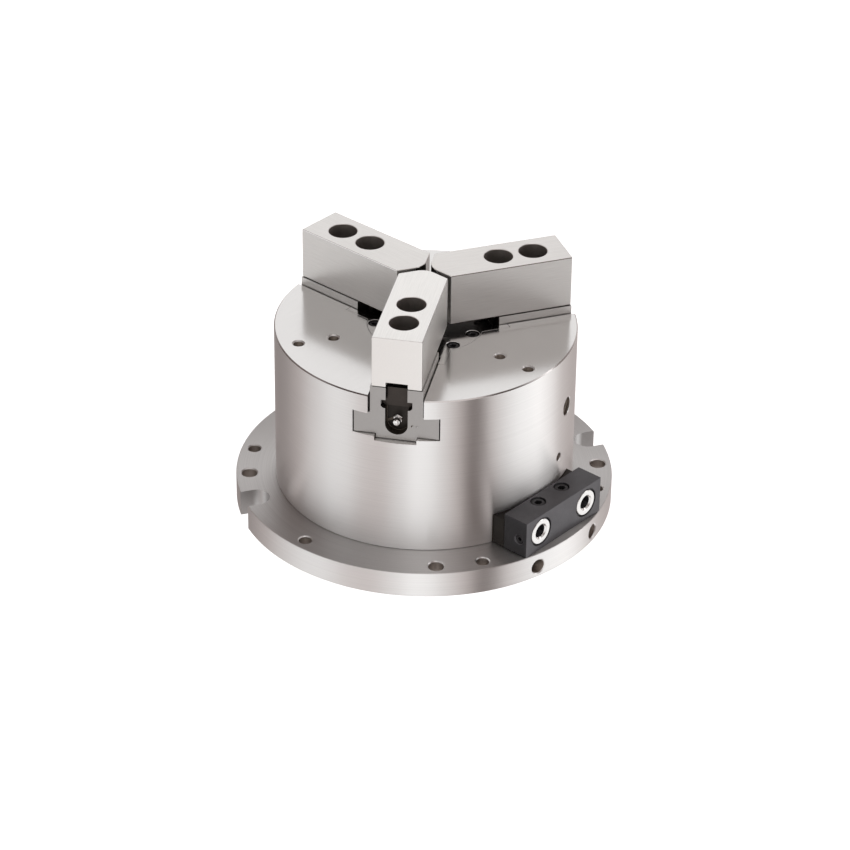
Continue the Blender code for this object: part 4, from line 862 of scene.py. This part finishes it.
def make_master_jaw(number, angle):
    top = MASTER_HIGH.z
    end = MASTER_HIGH.y
    section = [(NECK_HALF_WIDTH, top), (NECK_HALF_WIDTH, FOOT_TOP), (FOOT_HALF_WIDTH, FOOT_TOP)]
    section += [(FOOT_HALF_WIDTH, FOOT_BOTTOM), (TONGUE_HALF_WIDTH, FOOT_BOTTOM)]
    section.append((TONGUE_HALF_WIDTH, TONGUE_BOTTOM))
    place = around(angle)
    jaw = prism(f"master_jaw_{number}_ground", mirrored(section), MASTER_INNER_END, end, "X", place)
    wide = NECK_HALF_WIDTH + CLEAR
    near = (MASTER_INNER_END - CLEAR, -wide, BODY_TOP - 6.6 * MM)
    cut(jaw, box_between("low_end", near, (MASTER_NECK_START, wide, top + CLEAR), place))
    slot = [(KEY_HALF_WIDTH, top + CLEAR), (KEY_HALF_WIDTH, NUT_SLOT_TOP)]
    slot += [(NUT_SLOT_HALF_WIDTH, NUT_SLOT_TOP), (NUT_SLOT_HALF_WIDTH, NUT_SLOT_BOTTOM + NUT_CORNER)]
    slot.append((NUT_SLOT_HALF_WIDTH - NUT_CORNER, NUT_SLOT_BOTTOM))
    cut(jaw, prism("nut_slot", mirrored(slot), NUT_SLOT_START, end + CLEAR, "X", place))
    floor = (0.0, GROOVE_BOTTOM + GROOVE_HALF_WIDTH)
    groove = [(GROOVE_HALF_WIDTH, NUT_SLOT_BOTTOM + CLEAR)]
    groove += arc(floor, GROOVE_HALF_WIDTH, 0, -180, 24)
    groove.append((-GROOVE_HALF_WIDTH, NUT_SLOT_BOTTOM + CLEAR))
    cut(jaw, prism("groove", groove, GROOVE_START, end + CLEAR, "X", place))
    ease_edges(jaw, 0.25 * MM)
    spot = place @ pointing_out(0, GROOVE_START, NIPPLE_HEIGHT)
    cut(jaw, countersunk("nipple_hole", radius=2.6 * MM, depth=4.2 * MM, ease=0.3 * MM, place=spot))
    cut(jaw, hook(number, place), operation="UNION")
    punch = [(0.0, CLEAR), (1.0 * MM, CLEAR), (1.0 * MM, 0.0), (0.0, -0.9 * MM)]
    for offset in range(number):
        dot = place @ pointing_out(0, end, BODY_TOP - 22.0 * MM) @ upright(0.0, (11.0 + 3.2 * offset) * MM)
        cut(jaw, turned("punch", punch, 16, dot))
    finish(jaw, "master_steel", f"jaw_{number}", f"master_jaw_{number}")
    # The grease groove's walls are painted near black brown: painted shade in the groove
    paint(jaw, GROOVE_WALL_SHADE, lambda c, n: GROOVE_START - 0.1 * MM < c.x < end - 0.3 * MM
          and abs(c.y) < NUT_SLOT_HALF_WIDTH and c.z > GROOVE_BOTTOM - 0.1 * MM)
    # The nut slot's inner faces are painted near black: painted shade
    paint(jaw, BLACK_SHADE, lambda c, n: c.x < GROOVE_START and abs(c.y) < NUT_SLOT_HALF_WIDTH)
    # The master jaw's upper sides get the jaws' darker side steel: painted shade
    paint(jaw, JAW_SIDE_SHADE, lambda c, n: abs(n.y) > 0.9 and c.z > FOOT_TOP and abs(c.y) > NUT_SLOT_HALF_WIDTH)
    # The master jaw's inner end is painted near black: painted shade
    paint(jaw, BLACK_SHADE, lambda c, n: c.x < 48 * MM)


def hook(number, place):
    """The hook that the wedge plunger's slanted slot draws: further out the lower it is."""
    slope = JAW_STROKE / PISTON_STROKE
    low, high = TONGUE_BOTTOM + SLIDE_GAP, FOOT_TOP - SLIDE_GAP
    tip, step, root = 15 * MM, 20 * MM, 36.0 * MM  # distances from the axis, and half widths below
    head, neck = 9.0 * MM, 5.0 * MM
    outline = [(tip, -head), (step, -head), (step, -neck), (root, -neck)]
    outline += [(root, neck), (step, neck), (step, head), (tip, head)]
    made = prism(f"hook_{number}", outline, low, high, place=place)
    for vertex in made.data.vertices:
        vertex.co.x += slope * ((low + high) / 2 - vertex.co.z)
    return made


def make_t_nut(number, angle):
    key, foot = KEY_HALF_WIDTH - SLIDE_GAP, NUT_SLOT_HALF_WIDTH - SLIDE_GAP
    section = [(key, NUT_HIGH.z), (key, NUT_SLOT_TOP - SLIDE_GAP), (foot, NUT_SLOT_TOP - SLIDE_GAP)]
    section += [(foot, NUT_LOW.z + NUT_CORNER), (foot - NUT_CORNER, NUT_LOW.z)]
    place = around(angle)
    nut = prism(f"t_nut_{number}_milled", mirrored(section), NUT_LOW.y, NUT_HIGH.y, "X", place)
    ease_edges(nut, 0.3 * MM)
    for bolt in JAW_BOLTS:
        spot = place @ upright(bolt, 0.0, NUT_HIGH.z)
        cut(nut, through_hole("bolt_hole", radius=5.95 * MM, thickness=NUT_HIGH.z - NUT_LOW.z,
                              ease=0.3 * MM, place=spot))
    finish(nut, "dark_steel", f"jaw_{number}", f"t_nut_{number}")


def make_nipple(number, angle):
    """A ball-ended grease nipple: hexagon, neck and ball with its check hole."""
    place = around(angle) @ pointing_out(0, GROOVE_START, NIPPLE_HEIGHT)
    profile = [(0.0, 7.9 * MM), (0.6 * MM, 7.9 * MM), (0.75 * MM, 8.25 * MM)]
    profile += arc((0.0, 5.4 * MM), 2.9 * MM, 74, -42, 14)
    profile += [(2.0 * MM, 2.6 * MM), (2.2 * MM, 2.4 * MM), (2.2 * MM, 0.3 * MM), (2.3 * MM, 0.3 * MM)]
    profile += [(2.3 * MM, -3.8 * MM), (0.0, -3.8 * MM)]
    nipple = turned(f"grease_nipple_{number}_turned", profile, FINE, place)
    collar = [(0.0, 2.3 * MM), (3.1 * MM, 2.3 * MM), (3.6 * MM, 1.9 * MM)]
    collar += [(3.6 * MM, 0.3 * MM), (0.0, 0.3 * MM)]
    cut(nipple, turned("hexagon", collar, 6, place), operation="UNION")
    finish(nipple, "bright_fittings", f"jaw_{number}", f"grease_nipple_{number}")


# Air manifold

BLOCK_LOW, BLOCK_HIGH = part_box("manifold_block")
PORT_SPOTS = [middle(f"port_ring_{number}") for number in (1, 2)]
PORT_RADIUS = 4.8 * MM


def make_block():
    block = box_between("manifold_block_milled", BLOCK_LOW, BLOCK_HIGH)
    ease_edges(block, 0.5 * MM, segments=3)
    for spot in PORT_SPOTS:
        place = facing_front(spot.x, BLOCK_LOW.y, spot.z)
        cut(block, counterbore("port", wide=10.6 * MM, narrow=PORT_RADIUS, shoulder=2.2 * MM,
                               depth=22 * MM, ease=0.3 * MM, place=place))
    for number in (1, 2):
        centre = middle(f"manifold_screw_{number}")
        cut(block, counterbore("screw_hole", wide=5.5 * MM, narrow=3.5 * MM, shoulder=7.1 * MM,
                               depth=30 * MM, ease=0.3 * MM,
                               place=upright(centre.x, centre.y, BLOCK_HIGH.z), steps=HOLE))
    centre = middle("manifold_end_plug")
    place = facing_left(BLOCK_LOW.x, centre.y, centre.z)
    cut(block, countersunk("end_hole", radius=3.5 * MM, depth=7.0 * MM, ease=0.4 * MM, place=place,
                           thread=0.7 * MM))
    finish(block, "black_anodised", "housing", "manifold_block")
    # The block's left end gets a darker copy of its anodising: painted shade
    paint(block, BLOCK_END_SHADE, lambda c, n: n.x < -0.9)


def make_spacer():
    low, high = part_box("manifold_spacer")
    spacer = box_between("manifold_spacer_milled", low, high)
    ease_edges(spacer, 0.4 * MM)
    for spot in PORT_SPOTS:
        place = facing_front(spot.x, low.y, spot.z)
        cut(spacer, through_hole("port", PORT_RADIUS, high.y - low.y, ease=0.3 * MM, place=place))
    finish(spacer, "black_oxide", "housing", "manifold_spacer")
    # All of the spacer is painted near black, darker than its black oxide: painted shade of the pocket that
    # it fills
    paint(spacer, BLACK_SHADE, lambda c, n: True)


def make_port_ring(number):
    low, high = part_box(f"port_ring_{number}")
    spot = (low + high) / 2
    outer, inner, thick = (high.x - low.x) / 2, PORT_RADIUS, high.y - low.y
    profile = [(outer, -0.35 * MM), (outer, -thick), (inner, -thick), (inner, -1.1 * MM)]
    profile += [(inner + 0.9 * MM, -0.15 * MM), (inner + 1.1 * MM, 0.0), (outer - 0.35 * MM, 0.0)]
    place = facing_front(spot.x, low.y, spot.z)
    ring = turned(f"port_ring_{number}_turned", profile, FINE, place, closed=True)
    finish(ring, "bright_fittings", "housing", f"port_ring_{number}")


def make_plugs():
    for number, angle in enumerate(RIM_PORT_ANGLES, 1):
        distance = FLANGE_RADIUS - RIM_PORT_DEPTH + RIM_PLUG_LENGTH
        place = pointing_out(angle, distance, RIM_PORT_HEIGHT)
        make_plug(f"rim_plug_{number}", place, "dark_steel", radius=4.95 * MM, length=RIM_PLUG_LENGTH,
                  socket_radius=2.6 * MM)
    place = pointing_out(SIDE_PLUG_ANGLE, BODY_RADIUS - 2 * MM, middle("side_plug").z)
    plug = make_plug("side_plug", place, "body_steel", radius=6.3 * MM, length=6.7 * MM,
                     socket_radius=3.2 * MM)
    # The whole plug is painted dark brown: painted shade, so that its hole reads dark
    paint(plug, OILED_MILLED_SHADE, lambda c, n: True)
    low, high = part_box("manifold_end_plug")
    centre = (low + high) / 2
    place = facing_left(low.x, centre.y, centre.z)
    make_plug("manifold_end_plug", place, "black_oxide", radius=3.2 * MM, length=high.x - low.x,
              socket_radius=1.7 * MM)


# The studio

CAMERA_ANGLE = -139.115
CAMERA_HEIGHT = 31.7245
CAMERA_ROLL = -0.705
CAMERA_DISTANCE = 2.3632
CAMERA_TARGET = Vector((0.0, 0.0, 0.0599))
CAMERA_LENS = 142.335  # in millimetres, on a sensor 36 mm wide
CAMERA_SHIFT = (0.0003, -0.0073)


def direction(angle, height):
    """A unit vector at this angle round Z and this height above the horizon, in degrees."""
    a, h = math.radians(angle), math.radians(height)
    return Vector((math.cos(h) * math.cos(a), math.cos(h) * math.sin(a), math.sin(h)))


def make_camera():
    back = direction(CAMERA_ANGLE, CAMERA_HEIGHT)
    across = Vector((0.0, 0.0, 1.0)).cross(back).normalized()
    up = back.cross(across)
    roll = math.radians(CAMERA_ROLL)
    right = across * math.cos(roll) - up * math.sin(roll)
    top = across * math.sin(roll) + up * math.cos(roll)
    data = bpy.data.cameras.new("camera")
    data.lens = CAMERA_LENS
    data.sensor_width = 36.0
    data.shift_x, data.shift_y = CAMERA_SHIFT
    data.clip_start = 0.05
    data.clip_end = 60.0
    camera = bpy.data.objects.new("camera", data)
    bpy.context.scene.collection.objects.link(camera)
    spin = Matrix((right, top, back)).transposed().to_4x4()
    camera.matrix_world = Matrix.Translation(CAMERA_TARGET + back * CAMERA_DISTANCE) @ spin
    bpy.context.scene.camera = camera


# How bright the studio is round the gripper, by the angle from the camera's, in degrees. The panels
# stand from the floor to PANEL_TOP. Over them hangs a bright sheet in front and behind, with the room
# darker at the sides, and over SHEET_TOP is the ceiling.
PANELS = (
    (-180, 0.45), (-150, 0.32), (-124, 0.42), (-106, 0.68), (-88, 1.02), (-72, 1.14), (-60, 1.05),
    (-45, 0.78), (-32, 0.76), (-18, 1.02), (-6, 1.30), (4, 1.22), (16, 0.98), (26, 0.74), (35, 0.14),
    (42, 0.16), (50, 0.82), (62, 1.02), (74, 1.30), (86, 1.50), (98, 1.22), (116, 0.88), (134, 0.66),
    (160, 0.50), (180, 0.45),
)
OVERHEAD = (
    (-180, 1.14), (-166, 1.02), (-150, 0.36), (-128, 0.18), (-104, 0.20), (-84, 0.45), (-66, 1.25),
    (-30, 1.35), (0, 1.30), (20, 0.60), (37, 0.20), (50, 0.50), (66, 1.25), (98, 0.90), (116, 0.30),
    (150, 0.36), (166, 1.02), (180, 1.14),
)
CEILING = (
    (-180, 0.85), (-150, 0.25), (-60, 0.10), (-36, 0.35), (0, 0.95), (50, 0.75), (64, 0.12),
    (150, 0.25), (180, 0.85),
)
PANEL_TOP = (4, 18)  # heights in degrees between which the panels fade into what is over them
SHEET_TOP = (33, 43)  # and between which that fades into the ceiling


def tinted(level):
    """The darker the studio, the warmer its grey."""
    warm = 0.09 * min(1.0, max(0.0, (1.1 - level) / 0.35))
    if level < 0.4:
        warm += 0.09 * (0.4 - level) / 0.2
    return (level, level * (1 - warm), level * (1 - 1.25 * warm), 1.0)


def make_ramp(nodes, levels):
    ramp = nodes.new("ShaderNodeValToRGB")
    ramp.color_ramp.interpolation = "EASE"
    stops = ramp.color_ramp.elements
    stops.remove(stops[-1])
    for index, (degrees, level) in enumerate(levels):
        place = (degrees + 180) / 360
        stop = stops[0] if index == 0 else stops.new(place)
        stop.position = place
        stop.color = tinted(level)
    return ramp


def make_world():
    """A studio of soft panels all round, with a pale backdrop behind what the camera sees."""
    world = bpy.data.worlds.new("studio")
    bpy.context.scene.world = world
    world.use_nodes = True
    tree = world.node_tree
    nodes, links = tree.nodes, tree.links
    nodes.clear()
    coordinates = nodes.new("ShaderNodeTexCoord")
    spin = nodes.new("ShaderNodeVectorRotate")
    spin.rotation_type = "Z_AXIS"
    spin.inputs["Angle"].default_value = math.radians(-CAMERA_ANGLE)
    links.new(coordinates.outputs["Generated"], spin.inputs["Vector"])
    split = nodes.new("ShaderNodeSeparateXYZ")
    links.new(spin.outputs[0], split.inputs[0])
    angle = nodes.new("ShaderNodeMath")
    angle.operation = "ARCTAN2"
    links.new(split.outputs[1], angle.inputs[0])
    links.new(split.outputs[0], angle.inputs[1])
    share = nodes.new("ShaderNodeMapRange")
    share.inputs["From Min"].default_value = -math.pi
    share.inputs["From Max"].default_value = math.pi
    links.new(angle.outputs[0], share.inputs["Value"])
    shown = None
    for levels, limits in ((PANELS, None), (OVERHEAD, PANEL_TOP), (CEILING, SHEET_TOP)):
        ramp = make_ramp(nodes, levels)
        links.new(share.outputs[0], ramp.inputs["Fac"])
        if limits is None:
            shown = ramp.outputs["Color"]
            continue
        over = nodes.new("ShaderNodeMapRange")
        over.interpolation_type = "SMOOTHSTEP"
        over.inputs["From Min"].default_value = math.sin(math.radians(limits[0]))
        over.inputs["From Max"].default_value = math.sin(math.radians(limits[1]))
        links.new(split.outputs[2], over.inputs["Value"])
        blend = nodes.new("ShaderNodeMix")
        blend.data_type = "RGBA"
        links.new(over.outputs[0], blend.inputs["Factor"])
        links.new(shown, blend.inputs[6])
        links.new(ramp.outputs["Color"], blend.inputs[7])
        shown = blend.outputs[2]
    lit = nodes.new("ShaderNodeBackground")
    links.new(shown, lit.inputs["Color"])
    seen = nodes.new("ShaderNodeBackground")
    seen.inputs["Color"].default_value = (1.0, 1.0, 1.0, 1.0)
    rays = nodes.new("ShaderNodeLightPath")
    mix = nodes.new("ShaderNodeMixShader")
    links.new(rays.outputs["Is Camera Ray"], mix.inputs["Fac"])
    links.new(lit.outputs[0], mix.inputs[1])
    links.new(seen.outputs[0], mix.inputs[2])
    out = nodes.new("ShaderNodeOutputWorld")
    links.new(mix.outputs[0], out.inputs["Surface"])


def make_floor():
    reach, gap = 6.0, 0.2 * MM  # the floor lies just under the base, so that the two don't share a face
    floor = box_between("studio_floor", (-reach, -reach, -20 * MM), (reach, reach, -gap))
    look = Look("pale_floor", 0.9, 0.0)
    soft = look.noise(look.position(), 1.5, 1.0)
    look.link(look.blend(soft, (0.93, 0.93, 0.93), (0.96, 0.96, 0.96)), look.shader.inputs["Base Color"])
    look.set("Emission Color", (1.0, 1.0, 1.0, 1.0))
    look.set("Emission Strength", 0.85)
    floor.data.materials.append(look.material)
    floor.visible_glossy = False


def make_softbox(name, angle, height, distance, size, power):
    data = bpy.data.lights.new(name, "AREA")
    data.shape = "RECTANGLE"
    data.size, data.size_y = size
    data.energy = power
    light = bpy.data.objects.new(name, data)
    bpy.context.scene.collection.objects.link(light)
    back = direction(angle, height)
    facing = back.to_track_quat("Z", "Y").to_matrix().to_4x4()
    light.matrix_world = Matrix.Translation(back * distance) @ facing


def make_studio():
    make_camera()
    make_world()
    make_floor()
    make_softbox("key_softbox", CAMERA_ANGLE + 95, height=18, distance=2.2, size=(0.9, 1.2), power=4.0)
    bpy.context.scene.view_settings.view_transform = "Standard"


def main():
    dress_cad_nodes()
    make_flange()
    make_body()
    make_cover()
    make_screws()
    for number, angle in JAW_ANGLES.items():
        make_top_jaw(number, angle)
        make_master_jaw(number, angle)
        make_t_nut(number, angle)
        make_nipple(number, angle)
    make_block()
    make_spacer()
    for number in (1, 2):
        make_port_ring(number)
    make_plugs()
    make_studio()


main()
